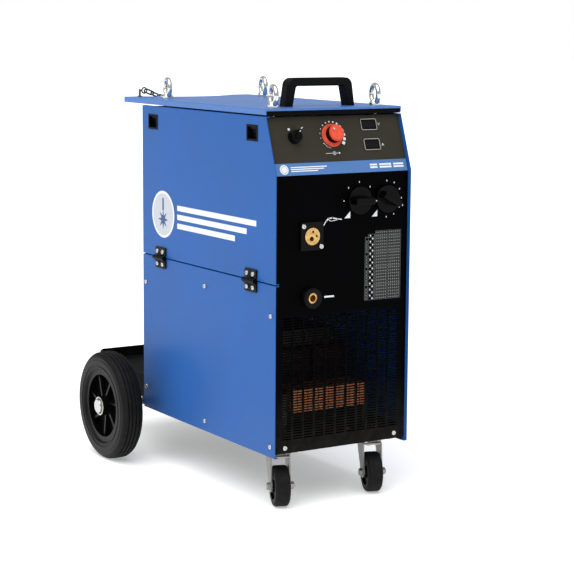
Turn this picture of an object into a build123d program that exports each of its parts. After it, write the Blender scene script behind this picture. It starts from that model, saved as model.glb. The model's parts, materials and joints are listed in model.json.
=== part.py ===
from build123d import *
import math
import os

# Wheeled MIG welding power source with built-in wire feeder, millimetres.
# Cabinet frame used while modelling: X across (0 at the middle), Y from the front edges of the
# side panels (0) to the rear, Z up from the lower edges of the side panels (0).
# Every node is moved to the floor frame when it is written: origin at the middle of the
# footprint, on the floor, front towards -Y, +Z up.

# ---- cabinet ---------------------------------------------------------------------------------
cabinet_width = 310.0
cabinet_depth = 543.0
cabinet_height = 650.0        # lower edge of the side panels to their top
bend_height = 541.5           # where the front leans back
slope_angle = 19.2            # lean of the control fascia, degrees
side_sheet = 1.5
flange_width = 8.0            # return flange along the side panels' top, bottom and rear
fold_radius = 1.4
front_edge_radius = 0.5
door_seam_height = 335.0
door_seam_gap = 2.0
panel_recess = 8.0            # front and rear panels sit back from the side panels' edges
panel_sheet = 1.5
panel_side_gap = 1.0          # between an end panel and the side sheets
panel_return = 14.0
fascia_sheet = 2.0
band_height = 25.0
band_thickness = 0.8

# ---- floor, wheels and casters -----------------------------------------------------------------
ground_gap = 105.0            # floor to the lower edges of the side panels
base_lift = 6.0               # underside of the base above the side panels' lower edges
base_sheet = 2.5
base_flange = 25.0
tyre_radius = 115.0
tyre_width = 50.0
rim_seat_radius = 77.0
rim_width = 40.0
hub_radius = 21.0
hub_length = 54.0
wheel_track = 462.0           # between the mid planes of the rear wheels
axle_offset = 9.0             # axle behind the rear edges of the side panels
axle_radius = 8.0
running_gap = 0.06            # radial clearance of every shaft that turns
cap_length = 4.5
cap_radius = 15.0
rim_spokes = 7
caster_radius = 40.0
caster_width = 30.0
caster_spacing = 216.0        # between the swivel axes
caster_setback = 68.0         # swivel axes behind the front edges
caster_trail = 31.0
caster_yaw = -20.0            # resting swivel angle of both casters, degrees
fork_leg = 3.0
fork_gap = 34.0
caster_plate_x = 80.0
caster_plate_y = 82.0
caster_plate_sheet = 3.0
kingpin_radius = 6.0
race_height = 6.0
fork_crown = 6.0
m8_radius = 4.0

# ---- cylinder platform -------------------------------------------------------------------------
platform_reach = 267.0        # behind the rear edges of the side panels
platform_width = 262.0
platform_top = 58.0
platform_sheet = 3.0
platform_edge = 10.0
platform_lip = 22.0
gusset_sheet = 4.0
gusset_boss = 19.0

# ---- lid ---------------------------------------------------------------------------------------
lid_gap = 3.0                 # shadow gap between the side panels and the lid's edge
lid_edge = 11.5
lid_sheet = 1.5
lid_overhang = 84.0
cradle_half_width = 110.0
cradle_radius = 145.0
rail_spacing = 200.0
rail_width = 14.0
chain_wire = 1.8              # radius of the chain's wire
link_length = 26.0
link_width = 13.0
chain_links = 12
chain_sag = 16.0
chain_left = -111.0           # left end, held by the post on the lid
chain_right = 80.0            # right end, held by the ring in the cradle's flange
chain_rise = 13.0             # left end above the lid
chain_drop = 8.0              # right end below the top of the lid
chain_ring_radius = 6.0
chain_ring_wire = 1.6
chain_arm_radius = 1.4

# ---- lifting eyes and handle -------------------------------------------------------------------
eye_spacing_x = 234.0
eye_front = 74.0
eye_rear = 500.0
eye_ring_radius = 17.5
eye_wire_radius = 5.0
eye_turn = -12.0              # how far the tightened rings turn from the cabinet's length
eye_collar_radius = 11.5
eye_collar_height = 5.0
eye_shank_radius = 5.0
handle_length = 161.0
handle_height = 55.0
handle_depth = 24.0
handle_bar = 16.0
handle_leg = 18.0
handle_splay = 8.0
handle_front = 101.0

# ---- controls ----------------------------------------------------------------------------------
knob_gap = 0.5
shaft_radius = 3.0
speed_knob_x = -10.0
speed_knob_up = 77.0          # up the fascia, from the bend
speed_skirt_radius = 23.0
speed_grip_radius = 16.5
mode_knob_x = -96.0
mode_knob_up = 75.5
mode_knob_radius = 13.5
meter_x = 78.3
meter_volt_up = 96.0
meter_amp_up = 56.2
meter_width = 37.0
meter_height = 22.8
meter_border = 2.4
switch_height = 487.0
coarse_switch_x = 38.2
fine_switch_x = 102.3
switch_disc_radius = 27.0
switch_disc_height = 7.0
switch_grip_height = 19.0
switch_grip_width = 13.0
mode_rest_angle = 37.0         # resting pointer angles, degrees
coarse_rest_angle = 0.0
fine_rest_angle = -30.0

# ---- sockets and grille ------------------------------------------------------------------------
socket_x = -71.5
torch_height = 423.5
torch_flange = 50.0
torch_flange_height = 54.0
torch_flange_sheet = 5.0
torch_core_radius = 16.5
torch_bore_radius = 4.6
torch_screw_offset = 20.0
earth_height = 305.0
earth_collar_radius = 20.0
earth_body_radius = 16.0
earth_contact_radius = 10.5
earth_bore_radius = 6.6
gland_x = 95.0
gland_z = 380.0
gland_thread = 12.0
gland_bore = 7.5
inlet_x = -60.0
inlet_z = 430.0
inlet_thread = 6.6
inlet_bore = 3.0
grille_columns = 11
grille_pitch_x = 24.6
grille_slot_x = 20.0
grille_pitch_z = 5.1
grille_slot_z = 2.6
grille_rows = 47
grille_bottom = 31.0

# ---- door, hinges and latches ------------------------------------------------------------------
hinge_front = 88.0
hinge_rear = 458.0
hinge_width = 44.0
hinge_reach = 22.0            # from the pin to the end of each leaf
hinge_leaf = 3.0
knuckle_radius = 5.0
pin_radius = 2.0
pin_standoff = 5.5            # pin axis outside the panel face
knuckle_middle = 16.0
latch_front = 87.0
latch_rear = 493.0
latch_height = 617.5
latch_size_y = 41.0
latch_size_z = 31.0
latch_depth = 12.0
latch_lip = 1.0
latch_slide_y = 20.0
latch_slide_z = 11.0

# ---- inside ------------------------------------------------------------------------------------
shelf_height = 322.0
shelf_sheet = 2.0
divider_x = 5.0
spool_radius = 150.0
spool_width = 100.0
spool_barrel_radius = 95.0
spool_bore_radius = 25.5
spool_hub_radius = 25.4
spool_x = -76.0
spool_y = 371.0
spool_z = 481.0
feeder_plate_x = -56.0
feeder_plate_thickness = 9.0
feed_roll_radius = 18.5
feed_roll_width = 10.0
feed_roll_y = 120.0
feed_shaft_radius = 5.0
roll_pin_radius = 4.0
wire_gap = 1.2                # between the two feed rolls
motor_radius = 26.0
arm_sheet = 4.0
fan_radius = 92.0
fan_z = 200.0
fan_hub_radius = 32.0
fan_blades = 7
fan_depth = 38.0
transformer_length = 206.0
transformer_depth = 100.0
transformer_bar = 34.0
transformer_y = 245.0
coil_height = 120.0
choke_y = 76.0
choke_length = 170.0
choke_winding_height = 46.0
choke_winding_depth = 52.0
choke_z = 96.0

# ---- small hardware ----------------------------------------------------------------------------
m5_radius = 2.5
m5_head_radius = 4.8
m5_head = 3.0
m5_length = 9.0
hinge_screw_length = 6.0
hole_clearance = 0.2

# ---- worked out from the above -----------------------------------------------------------------
half_width = cabinet_width / 2
inner_half = half_width - side_sheet
panel_half = inner_half - panel_side_gap
slope = math.radians(slope_angle)
setback = (cabinet_height - bend_height) * math.tan(slope)
front_face = panel_recess
rear_face = cabinet_depth - panel_recess
fascia_bottom = panel_recess * math.tan(slope / 2)
end_panel_top = cabinet_height - side_sheet - 0.5
fascia_top_rise = end_panel_top - bend_height + panel_recess * math.sin(slope)
fascia_length = fascia_top_rise / math.cos(slope)
lid_bottom = cabinet_height + lid_gap
lid_top = lid_bottom + lid_edge
lid_rear = cabinet_depth + lid_overhang
axle_y = cabinet_depth + axle_offset
axle_z = tyre_radius - ground_gap
platform_rear = cabinet_depth + platform_reach
pin_x = -half_width - pin_standoff
base_bottom = base_lift
base_top = base_lift + base_sheet
knob_reach = knob_gap + switch_disc_height + switch_grip_height
knob_tip = front_face - knob_reach
floor_frame = Location((0, -(knob_tip + platform_rear) / 2, ground_gap))
fascia_frame = Plane(
    origin=(0, panel_recess * math.cos(slope), bend_height - panel_recess * math.sin(slope)),
    x_dir=(1, 0, 0),
    z_dir=(0, -math.cos(slope), math.sin(slope)),
)
fascia_meet_height = (fascia_frame * Pos(0, fascia_bottom, 0)).position.Z
end_grip = platform_sheet + panel_sheet + base_sheet
caster_grip = caster_plate_sheet + base_sheet
fork_top = base_bottom - caster_plate_sheet - race_height - 1.0
caster_axle_z = caster_radius - ground_gap
chain_y = lid_rear - 15.0
cradle_drop = cradle_radius - math.sqrt(cradle_radius**2 - cradle_half_width**2)
cradle_centre_y = lid_rear - cradle_drop + cradle_radius
roll_x = socket_x - feed_roll_width / 2
feed_axis_z = torch_height - feed_roll_radius - wire_gap / 2
pressure_axis_z = torch_height + feed_roll_radius + wire_gap / 2
arm_pivot_y = feed_roll_y + 46.0
arm_pivot_z = torch_height + 14.0
arm_x = feeder_plate_x - 7.5
fan_front = rear_face - panel_sheet - 3.0 - fan_depth


# ---- helpers -----------------------------------------------------------------------------------
def block(x0, x1, y0, y1, z0, z1):
    """Box between two corners."""
    size = (x1 - x0, y1 - y0, z1 - z0)
    return Pos((x0 + x1) / 2, (y0 + y1) / 2, (z0 + z1) / 2) * Box(*size)


def rod(start, direction, radius, length):
    """Cylinder that starts at a point and runs along a direction."""
    return Plane(origin=start, z_dir=direction) * Cylinder(
        radius, length, align=(Align.CENTER, Align.CENTER, Align.MIN)
    )


def pipe(start, direction, outer, inner, length):
    """Tube that starts at a point and runs along a direction."""
    return rod(start, direction, outer, length) - rod(start, direction, inner, length)


def side_plane(x):
    """Plane across the cabinet at x, with its axes along Y and Z."""
    return Plane(origin=(x, 0, 0), x_dir=(0, 1, 0), z_dir=(1, 0, 0))


def side_prism(points, x0, x1):
    """Prism between x0 and x1 whose outline is given in Y and Z."""
    return extrude(side_plane(x0) * make_face(Polyline(*points, close=True)), x1 - x0)


def front_prism(points, y0, y1):
    """Prism between y0 and y1 whose outline is given in X and Z."""
    plane = Plane(origin=(0, y0, 0), x_dir=(1, 0, 0), z_dir=(0, -1, 0))
    return extrude(plane * make_face(Polyline(*points, close=True)), -(y1 - y0))


def hexagon_bar(start, direction, across_flats, length):
    """Hexagonal bar that starts at a point and runs along a direction."""
    plane = Plane(origin=start, z_dir=direction)
    return extrude(plane * RegularPolygon(across_flats / 2, 6, major_radius=False), length)


def mirrored(shape):
    """The same shape on the other side of the cabinet."""
    return mirror(shape, about=Plane.YZ)


def write(name, *solids):
    """Move a node to the floor frame and write it as one STEP file."""
    shape = solids[0] if len(solids) == 1 else Compound(children=list(solids))
    export_step(floor_frame * shape, f"parts/{name}.step")


# ---- fasteners ---------------------------------------------------------------------------------
def side_screw_places(side):
    """Screws through the side sheets: point on the outer face and inward direction."""
    rear_line = cabinet_depth - panel_recess - panel_return / 2
    front_line = panel_recess + panel_return / 2
    low = base_bottom + base_flange * 0.62
    high = door_seam_height - 36.0
    middle = cabinet_depth / 2
    spots = [(front_line, low), (middle, low), (rear_line, low + 26.0)]
    spots += [(front_line, high - 24.0), (middle, high), (rear_line, high - 24.0)]
    if side > 0:
        spots += [(front_line, bend_height - 24.0), (rear_line, bend_height - 24.0)]
        spots += [(rear_line, cabinet_height - 30.0)]
    return [((side * half_width, y, z), (-side, 0, 0)) for y, z in spots]


def end_screw_places():
    """Screws through the front and rear panels."""
    low = base_bottom + base_flange * 0.45
    front_x = panel_half - 25.0
    rear_x = (panel_half - panel_sheet + platform_width / 2) / 2
    places = [((side * front_x, front_face, low), (0, 1, 0)) for side in (-1, 1)]
    places += [((side * rear_x, rear_face, low), (0, -1, 0)) for side in (-1, 1)]
    return places


def torch_screw_places():
    """Two opposite corner screws of the torch socket's flange."""
    face = front_face - torch_flange_sheet
    offset = torch_screw_offset
    return [
        ((socket_x - offset, face, torch_height + offset), (0, 1, 0)),
        ((socket_x + offset, face, torch_height - offset), (0, 1, 0)),
    ]


def handle_screw_places():
    """Screws that come up through the lid into the handle's feet."""
    reach = handle_length / 2 - handle_leg / 2
    start = lid_top - lid_sheet
    return [((side * reach, handle_front, start), (0, 0, 1)) for side in (-1, 1)]


def hinge_screw_places(upper):
    """Two screws in each leaf of both surface hinges."""
    places = []
    height = door_seam_height + (13.0 if upper else -13.0)
    for centre in (hinge_front, hinge_rear):
        for offset in (-11.5, 11.5):
            start = (-half_width - hinge_leaf, centre + offset, height)
            places.append((start, (1, 0, 0)))
    return places


def pan_screw(place, length=m5_length):
    """Cross-recessed pan head screw whose head stands on the given face."""
    start, direction = place
    axis = Vector(*direction)
    point = Vector(*start)
    head = rod(point - axis * m5_head, direction, m5_head_radius, m5_head)
    dome = head.edges().filter_by(GeomType.CIRCLE).sort_by(lambda e: (e.center() - point).dot(axis))[0]
    head = fillet(dome, 1.6)
    plane = Plane(origin=point - axis * m5_head, z_dir=direction)
    cross = plane * (Box(5.0, 1.1, 2.6) + Box(1.1, 5.0, 2.6))
    return head + rod(point, direction, m5_radius, length) - cross


def drill(shape, places, length=m5_length, radius=m5_radius + hole_clearance):
    """Clearance holes for screws at the given places."""
    for start, direction in places:
        axis = Vector(*direction)
        begin = Vector(*start) - axis * 1.0
        shape = shape - rod(begin, direction, radius, length + 1.5)
    return shape


def caster_bolt_places():
    """Four M8 bolts through each caster plate and the base."""
    places = []
    low = base_bottom - caster_plate_sheet
    for side in (-1, 1):
        for dx in (-1, 1):
            for dy in (-1, 1):
                x = side * caster_spacing / 2 + dx * (caster_plate_x / 2 - 10.0)
                y = caster_setback + dy * (caster_plate_y / 2 - 10.0)
                places.append(((x, y, low), (0, 0, 1)))
    return places


def platform_bolt_places():
    """Four M8 bolts that hold the platform's upright to the base."""
    height = base_bottom + base_flange / 2
    return [((x, rear_face + platform_sheet, height), (0, -1, 0)) for x in (-105.0, -40.0, 40.0, 105.0)]


def hex_bolt(place, grip):
    """Hexagon bolt and nut; the head stands on the given face, the nut beyond the grip."""
    start, direction = place
    axis = Vector(*direction)
    point = Vector(*start)
    head = hexagon_bar(point - axis * 5.0, direction, 13.0, 5.0)
    bolt = head + rod(point, direction, m8_radius, grip + 9.0)
    nut = hexagon_bar(point + axis * grip, direction, 13.0, 6.0)
    nut = nut - rod(point, direction, m8_radius, grip + 9.0)
    return [bolt, nut]


# ---- cabinet sheet metal -----------------------------------------------------------------------
def side_face(z_low, z_high, inset):
    """Side outline between two heights, pulled in by an inset on every edge."""
    outline = make_face(
        Polyline(
            (0, 0),
            (cabinet_depth, 0),
            (cabinet_depth, cabinet_height),
            (setback, cabinet_height),
            (0, bend_height),
            close=True,
        )
    )
    middle = (z_low + z_high) / 2
    window = Pos(cabinet_depth / 2, middle) * Rectangle(cabinet_depth * 2, z_high - z_low)
    face = outline & window
    return offset(face, amount=-inset, kind=Kind.INTERSECTION) if inset else face


def folded_side(z_low, z_high):
    """Side panel of the -X side: flanges along its top, bottom and rear, a plain front edge."""
    shell = extrude(side_plane(-half_width) * side_face(z_low, z_high, 0), flange_width)
    rim = shell.faces().sort_by(Axis.X)[0].edges()
    folded = rim.filter_by(lambda edge: edge.center().Y > cabinet_depth / 4)
    shell = fillet(folded, fold_radius)
    hollow = extrude(side_plane(-inner_half) * side_face(z_low, z_high, side_sheet), flange_width)
    shell = shell - hollow - Pos(0, -2 * side_sheet, 0) * hollow
    rim = shell.faces().sort_by(Axis.X)[0].edges()
    plain = rim.filter_by(lambda edge: edge.center().Y < cabinet_depth / 4)
    return fillet(plain, front_edge_radius)


def seam_notches(panel):
    """Clear the flanges along the door seam where the front and rear panels pass."""
    depth = panel_recess + panel_return + 1.0
    low = door_seam_height - 4.0
    high = door_seam_height + 4.0
    for y0, y1 in ((side_sheet, depth), (cabinet_depth - depth, cabinet_depth - side_sheet)):
        panel = panel - block(-inner_half, -inner_half + flange_width, y0, y1, low, high)
    return panel


def right_side_panel():
    """Full-height panel of the +X side."""
    panel = mirrored(folded_side(0, cabinet_height))
    return drill(panel, side_screw_places(1))


def left_lower_panel():
    """Panel below the door on the -X side."""
    panel = seam_notches(folded_side(0, door_seam_height - door_seam_gap / 2))
    panel = drill(panel, side_screw_places(-1))
    return drill(panel, hinge_screw_places(False))


def side_door():
    """Door that covers the wire feeder, with openings for the two latches."""
    door = seam_notches(folded_side(door_seam_height + door_seam_gap / 2, cabinet_height))
    for centre in (latch_front, latch_rear):
        hole_y = latch_size_y / 2 - 1.5
        hole_z = latch_size_z / 2 - 1.5
        door = door - block(
            -half_width - 1,
            -inner_half + 1,
            centre - hole_y,
            centre + hole_y,
            latch_height - hole_z,
            latch_height + hole_z,
        )
    return drill(door, hinge_screw_places(True))


def end_sheet(y_outer, inward, z_low, z_high):
    """End panel: a sheet with a return along each side."""
    y_inner = y_outer + inward * panel_sheet
    y_back = y_outer + inward * panel_return
    low, high = sorted((y_outer, y_inner))
    sheet = block(-panel_half, panel_half, low, high, z_low, z_high)
    low, high = sorted((y_outer, y_back))
    for side in (-1, 1):
        x0, x1 = sorted((side * panel_half, side * (panel_half - panel_sheet)))
        sheet = sheet + block(x0, x1, low, high, z_low, z_high)
    return sheet


def grille_slots():
    """Outlines of the ventilation slots in the front panel."""
    first_x = -(grille_columns - 1) / 2 * grille_pitch_x
    slots = []
    for column in range(grille_columns):
        for row in range(grille_rows):
            x = first_x + column * grille_pitch_x
            z = grille_bottom + (row + 0.5) * grille_pitch_z
            slots.append(Pos(x, z) * Rectangle(grille_slot_x, grille_slot_z))
    return slots


def front_panel():
    """Lower front panel with the air grille and the switch and socket openings."""
    panel = end_sheet(front_face, 1, base_bottom, fascia_meet_height)
    grille_width = grille_columns * grille_pitch_x
    grille_top = grille_bottom + grille_rows * grille_pitch_z
    middle = (grille_bottom + grille_top) / 2
    plane = Plane(origin=(0, front_face, 0), x_dir=(1, 0, 0), z_dir=(0, -1, 0))
    field = Pos(0, middle) * Rectangle(grille_width, grille_top - grille_bottom)
    window = extrude(plane * field, -panel_sheet)
    holes = [slot.face().outer_wire() for slot in grille_slots()]
    slotted = extrude(plane * Face(field.face().outer_wire(), holes), -panel_sheet)
    panel = panel - window + slotted
    for x in (coarse_switch_x, fine_switch_x):
        panel = panel - rod((x, 0, switch_height), (0, 1, 0), shaft_radius + running_gap, 30)
    panel = panel - rod((socket_x, 0, torch_height), (0, 1, 0), torch_core_radius, 30)
    panel = panel - rod((socket_x, 0, earth_height), (0, 1, 0), earth_body_radius, 30)
    panel = drill(panel, side_screw_places(1) + side_screw_places(-1))
    return drill(panel, end_screw_places() + torch_screw_places())


def control_fascia():
    """Leaning plate that carries the knobs and the two meters."""
    length = fascia_length - fascia_bottom
    plate = fascia_frame * Pos(0, fascia_bottom + length / 2, -fascia_sheet / 2) * Box(
        2 * panel_half, length, fascia_sheet
    )
    plate = plate - block(-half_width, half_width, 0, 60, 0, fascia_meet_height)
    for x, up in ((speed_knob_x, speed_knob_up), (mode_knob_x, mode_knob_up)):
        hole = Cylinder(shaft_radius + running_gap, 4 * fascia_sheet)
        plate = plate - fascia_frame * Pos(x, up, 0) * hole
    for up in (meter_volt_up, meter_amp_up):
        opening = Box(meter_width - 4, meter_height - 4, 4 * fascia_sheet)
        plate = plate - fascia_frame * Pos(meter_x, up, 0) * opening
    return plate


def fascia_band():
    """Coloured strip along the lower edge of the fascia."""
    length = band_height - fascia_bottom
    place = Pos(0, fascia_bottom + length / 2, band_thickness / 2)
    return fascia_frame * place * Box(2 * panel_half - 2, length, band_thickness)


def rear_panel():
    """Rear panel with the fan outlet rings and the cable and gas openings."""
    panel = end_sheet(rear_face, -1, base_bottom, end_panel_top)
    for inner in (40.0, 52.0, 64.0, 76.0):
        ring = pipe((0, rear_face + 5, fan_z), (0, -1, 0), inner + 8.0, inner, 12)
        for angle in (45, 135):
            spoke = Plane(origin=(0, rear_face, fan_z), z_dir=(0, -1, 0)) * Rot(0, 0, angle) * Box(8, 220, 30)
            ring = ring - spoke
        panel = panel - ring
    panel = panel - rod((gland_x, rear_face + 5, gland_z), (0, -1, 0), gland_thread, 12)
    panel = panel - rod((inlet_x, rear_face + 5, inlet_z), (0, -1, 0), inlet_thread, 12)
    panel = drill(panel, side_screw_places(1) + side_screw_places(-1))
    panel = drill(panel, end_screw_places())
    return drill(panel, platform_bolt_places(), 20, m8_radius + hole_clearance)


def lid():
    """Folded lid with the cradle cut-out for the gas cylinder in its rear edge."""
    front = setback + 0.6
    left = (-cradle_half_width, lid_rear)
    bottom = (0, lid_rear - cradle_drop)
    right = (cradle_half_width, lid_rear)
    outline = [
        Polyline(
            right,
            (half_width, lid_rear),
            (half_width, front),
            (-half_width, front),
            (-half_width, lid_rear),
            left,
        ),
        ThreePointArc(left, bottom, right),
    ]
    face = make_face(Curve() + outline)
    shell = extrude(Pos(0, 0, lid_bottom) * face, lid_edge)
    shell = fillet(shell.faces().sort_by(Axis.Z)[-1].edges(), fold_radius)
    inner = offset(face, amount=-lid_sheet, kind=Kind.INTERSECTION)
    shell = shell - extrude(Pos(0, 0, lid_bottom) * inner, lid_edge - lid_sheet)
    for side in (-1, 1):
        x0, x1 = sorted((side * rail_spacing / 2, side * (rail_spacing / 2 + lid_sheet)))
        shell = shell + block(x0, x1, 130, 460, cabinet_height + 1, lid_top - lid_sheet)
        x0, x1 = sorted((side * rail_spacing / 2, side * (rail_spacing / 2 + rail_width)))
        shell = shell + block(x0, x1, 130, 460, cabinet_height + 1, cabinet_height + 1 + lid_sheet)
    for x, y in eye_places():
        shell = shell - rod((x, y, lid_bottom), (0, 0, 1), eye_shank_radius + hole_clearance, 30)
    return drill(shell, handle_screw_places(), 20)


def base_plate():
    """Folded base tray that carries the transformer, the casters and the platform."""
    y0 = front_face + panel_sheet
    y1 = rear_face - panel_sheet
    x = panel_half - panel_sheet
    tray = block(-x, x, y0, y1, base_bottom, base_bottom + base_flange)
    hollow = block(
        -x + base_sheet, x - base_sheet, y0 + base_sheet, y1 - base_sheet, base_top, base_top + base_flange
    )
    tray = tray - hollow
    tray = drill(tray, side_screw_places(1) + side_screw_places(-1) + end_screw_places(), 12)
    tray = drill(tray, caster_bolt_places(), 20, m8_radius + hole_clearance)
    return drill(tray, platform_bolt_places(), 20, m8_radius + hole_clearance)


def equipment_shelf():
    """Shelf at the door seam, above the transformer space."""
    y0 = front_face + panel_return + 2
    y1 = rear_face - panel_return - 2
    x = panel_half - panel_sheet - 1
    shelf = block(-x, x, y0, y1, shelf_height, shelf_height + shelf_sheet)
    for x0 in (-x, x - shelf_sheet):
        shelf = shelf + block(x0, x0 + shelf_sheet, y0, y1, shelf_height - 14, shelf_height)
    slot = block(60, 110, 150, 230, shelf_height - 5, shelf_height + 5)
    return drill(shelf - slot, side_screw_places(1) + side_screw_places(-1), 12)


def centre_divider():
    """Upright plate between the wire space and the control space."""
    low = shelf_height + shelf_sheet
    y0 = 62.0
    y1 = rear_face - panel_return - 2
    plate = block(divider_x, divider_x + shelf_sheet, y0, y1, low, cabinet_height - 3)
    foot = block(divider_x, divider_x + 16, y0, y1, low, low + shelf_sheet)
    plate = plate + foot
    plate = plate - rod((divider_x - 5, feed_roll_y, feed_axis_z), (1, 0, 0), motor_radius + 1, 30)
    return plate - rod((divider_x - 5, spool_y, spool_z), (1, 0, 0), 8.0, 30)


# ---- lifting eyes and handle -------------------------------------------------------------------
def eye_places():
    """Plan positions of the four lifting eyes."""
    half = eye_spacing_x / 2
    return [(x, y) for x in (-half, half) for y in (eye_front, eye_rear)]


def lifting_eyebolts():
    """Eyebolts with their nuts under the lid; each ring lies nearly along the cabinet's length."""
    pieces = []
    base = (Align.CENTER, Align.CENTER, Align.MIN)
    ring_height = eye_ring_radius + eye_wire_radius
    ring = Pos(0, 0, ring_height) * Rot(0, 90, 0) * Torus(eye_ring_radius, eye_wire_radius)
    hole = rod((-30, 0, ring_height), (1, 0, 0), eye_ring_radius - eye_wire_radius, 60)
    collar = Cylinder(eye_collar_radius, eye_collar_height, align=base)
    neck = Pos(0, 0, eye_collar_height) * Cone(eye_collar_radius, eye_wire_radius + 2.5, 7.0, align=base)
    eye = ring + (collar + neck - hole)
    for x, y in eye_places():
        start = lid_top - lid_sheet - 16.0
        shank = rod((x, y, start), (0, 0, 1), eye_shank_radius, 16.0 + lid_sheet)
        pieces.append(Pos(x, y, lid_top) * Rot(0, 0, eye_turn) * eye + shank)
        nut = hexagon_bar((x, y, lid_top - lid_sheet - 8.0), (0, 0, 1), 17.0, 8.0)
        pieces.append(nut - rod((x, y, start), (0, 0, 1), eye_shank_radius, 30))
    return pieces


def carry_handle():
    """Moulded bridge handle whose legs splay towards their feet."""
    foot = handle_length / 2
    top = foot - handle_splay
    low = lid_top
    high = lid_top + handle_height
    outer = front_prism(
        [(-foot, low), (foot, low), (top, high), (-top, high)],
        handle_front - handle_depth / 2,
        handle_front + handle_depth / 2,
    )
    corners = outer.edges().filter_by(Axis.Y).sort_by(Axis.Z)[-2:]
    outer = fillet(corners, handle_bar)
    under = high - handle_bar
    inner_foot = foot - handle_leg
    inner_top = top - handle_leg
    opening = front_prism(
        [(-inner_foot, low - 1), (inner_foot, low - 1), (inner_top, under), (-inner_top, under)],
        handle_front - handle_depth,
        handle_front + handle_depth,
    )
    opening = fillet(opening.edges().filter_by(Axis.Y).sort_by(Axis.Z)[-2:], 4.0)
    handle = outer - opening
    handle = chamfer(handle.faces().sort_by(Axis.Y)[0].edges().filter_by(lambda e: e.center().Z > low + 1), 2.5)
    handle = chamfer(handle.faces().sort_by(Axis.Y)[-1].edges().filter_by(lambda e: e.center().Z > low + 1), 2.5)
    return drill(handle, handle_screw_places(), 16, m5_radius)


# ---- door hinges and latches -------------------------------------------------------------------
def hinge_leaf_solid(centre, direction):
    """One leaf of a surface hinge; direction is 1 for the upper leaf and -1 for the lower."""
    clear = knuckle_radius + 0.7
    near = door_seam_height + direction * clear
    far = door_seam_height + direction * hinge_reach
    z0, z1 = sorted((near, far))
    half = hinge_width / 2
    outer = -half_width - hinge_leaf
    plate = block(outer, -half_width, centre - half, centre + half, z0, z1)
    corners = plate.edges().filter_by(Axis.X).group_by(Axis.Z)[-1 if direction > 0 else 0]
    plate = fillet(corners, 3.0)
    z0, z1 = sorted((door_seam_height, near + direction * 0.5))
    if direction > 0:
        spans = [(-knuckle_middle / 2, knuckle_middle / 2)]
    else:
        inner = knuckle_middle / 2 + 0.4
        spans = [(-half, -inner), (inner, half)]
    leaf = plate
    for low, high in spans:
        y0, y1 = centre + low, centre + high
        web = block(pin_x, -half_width - 0.4, y0, y1, z0, z1)
        knuckle = rod((pin_x, y0, door_seam_height), (0, 1, 0), knuckle_radius, y1 - y0)
        leaf = leaf + web + knuckle
    radius = pin_radius + (running_gap if direction > 0 else 0)
    leaf = leaf - rod((pin_x, centre - half - 1, door_seam_height), (0, 1, 0), radius, hinge_width + 2)
    return drill(leaf, hinge_screw_places(direction > 0))


def hinge_lower_leaves():
    """Fixed leaves of the two hinges, with their pins."""
    pieces = []
    for centre in (hinge_front, hinge_rear):
        pieces.append(hinge_leaf_solid(centre, -1))
        start = (pin_x, centre - hinge_width / 2, door_seam_height)
        pieces.append(rod(start, (0, 1, 0), pin_radius, hinge_width))
    return pieces


def hinge_door_leaves():
    """Leaves on the door, with their screws."""
    pieces = [hinge_leaf_solid(centre, 1) for centre in (hinge_front, hinge_rear)]
    pieces += [pan_screw(place, hinge_screw_length) for place in hinge_screw_places(True)]
    return pieces


def latch_housing(centre):
    """Recessed tub let into the door; the slide runs in its recess."""
    half_y = latch_size_y / 2
    half_z = latch_size_z / 2
    hole_y = half_y - 1.7
    hole_z = half_z - 1.7
    outer = -half_width - latch_lip
    low = latch_height - half_z
    high = latch_height + half_z
    lip = block(outer, -half_width, centre - half_y, centre + half_y, low, high)
    tub = block(
        -half_width, -half_width + latch_depth,
        centre - hole_y, centre + hole_y, latch_height - hole_z, latch_height + hole_z,
    )
    recess = block(
        outer - 1, -half_width + latch_depth - 2.0,
        centre - hole_y + 2, centre + hole_y - 2, latch_height - hole_z + 2, latch_height + hole_z - 2,
    )
    return lip + tub - recess


def latch_slide(centre):
    """Finger slide inside a latch housing."""
    back = -half_width + latch_depth - 2.0 - 0.3
    high = latch_height + latch_size_z / 2 - 1.7 - 2 - 0.4
    y0, y1 = centre - latch_slide_y / 2, centre + latch_slide_y / 2
    plate = block(back - 2.0, back, y0 - 5, y1 + 5, high - latch_slide_z, high)
    grip = block(back - 7.0, back - 2.0, y0, y1, high - 4.0, high)
    return plate + grip


# ---- knobs -------------------------------------------------------------------------------------
def speed_knob():
    """Wire speed knob: flanged skirt with its shaft, fluted grip and top cap."""
    frame = fascia_frame * Pos(speed_knob_x, speed_knob_up, 0)
    base = (Align.CENTER, Align.CENTER, Align.MIN)
    skirt = Pos(0, 0, knob_gap) * Cone(speed_skirt_radius, speed_skirt_radius - 1.6, 4.0, align=base)
    shaft = Pos(0, 0, -12.0) * Cylinder(shaft_radius, 12.0 + knob_gap, align=base)
    grip = Pos(0, 0, knob_gap + 4.0) * Cylinder(speed_grip_radius, 14.0, align=base)
    for index in range(20):
        flute = Rot(0, 0, index * 18.0) * Pos(speed_grip_radius + 0.6, 0, knob_gap + 5.0)
        grip = grip - flute * Cylinder(1.3, 14.0, align=base)
    cap = Pos(0, 0, knob_gap + 18.0) * Cylinder(speed_grip_radius - 1.8, 2.4, align=base)
    cap = fillet(cap.edges().group_by(Axis.Z)[-1], 0.9)
    return [frame * (skirt + shaft), frame * grip, frame * cap]


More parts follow.
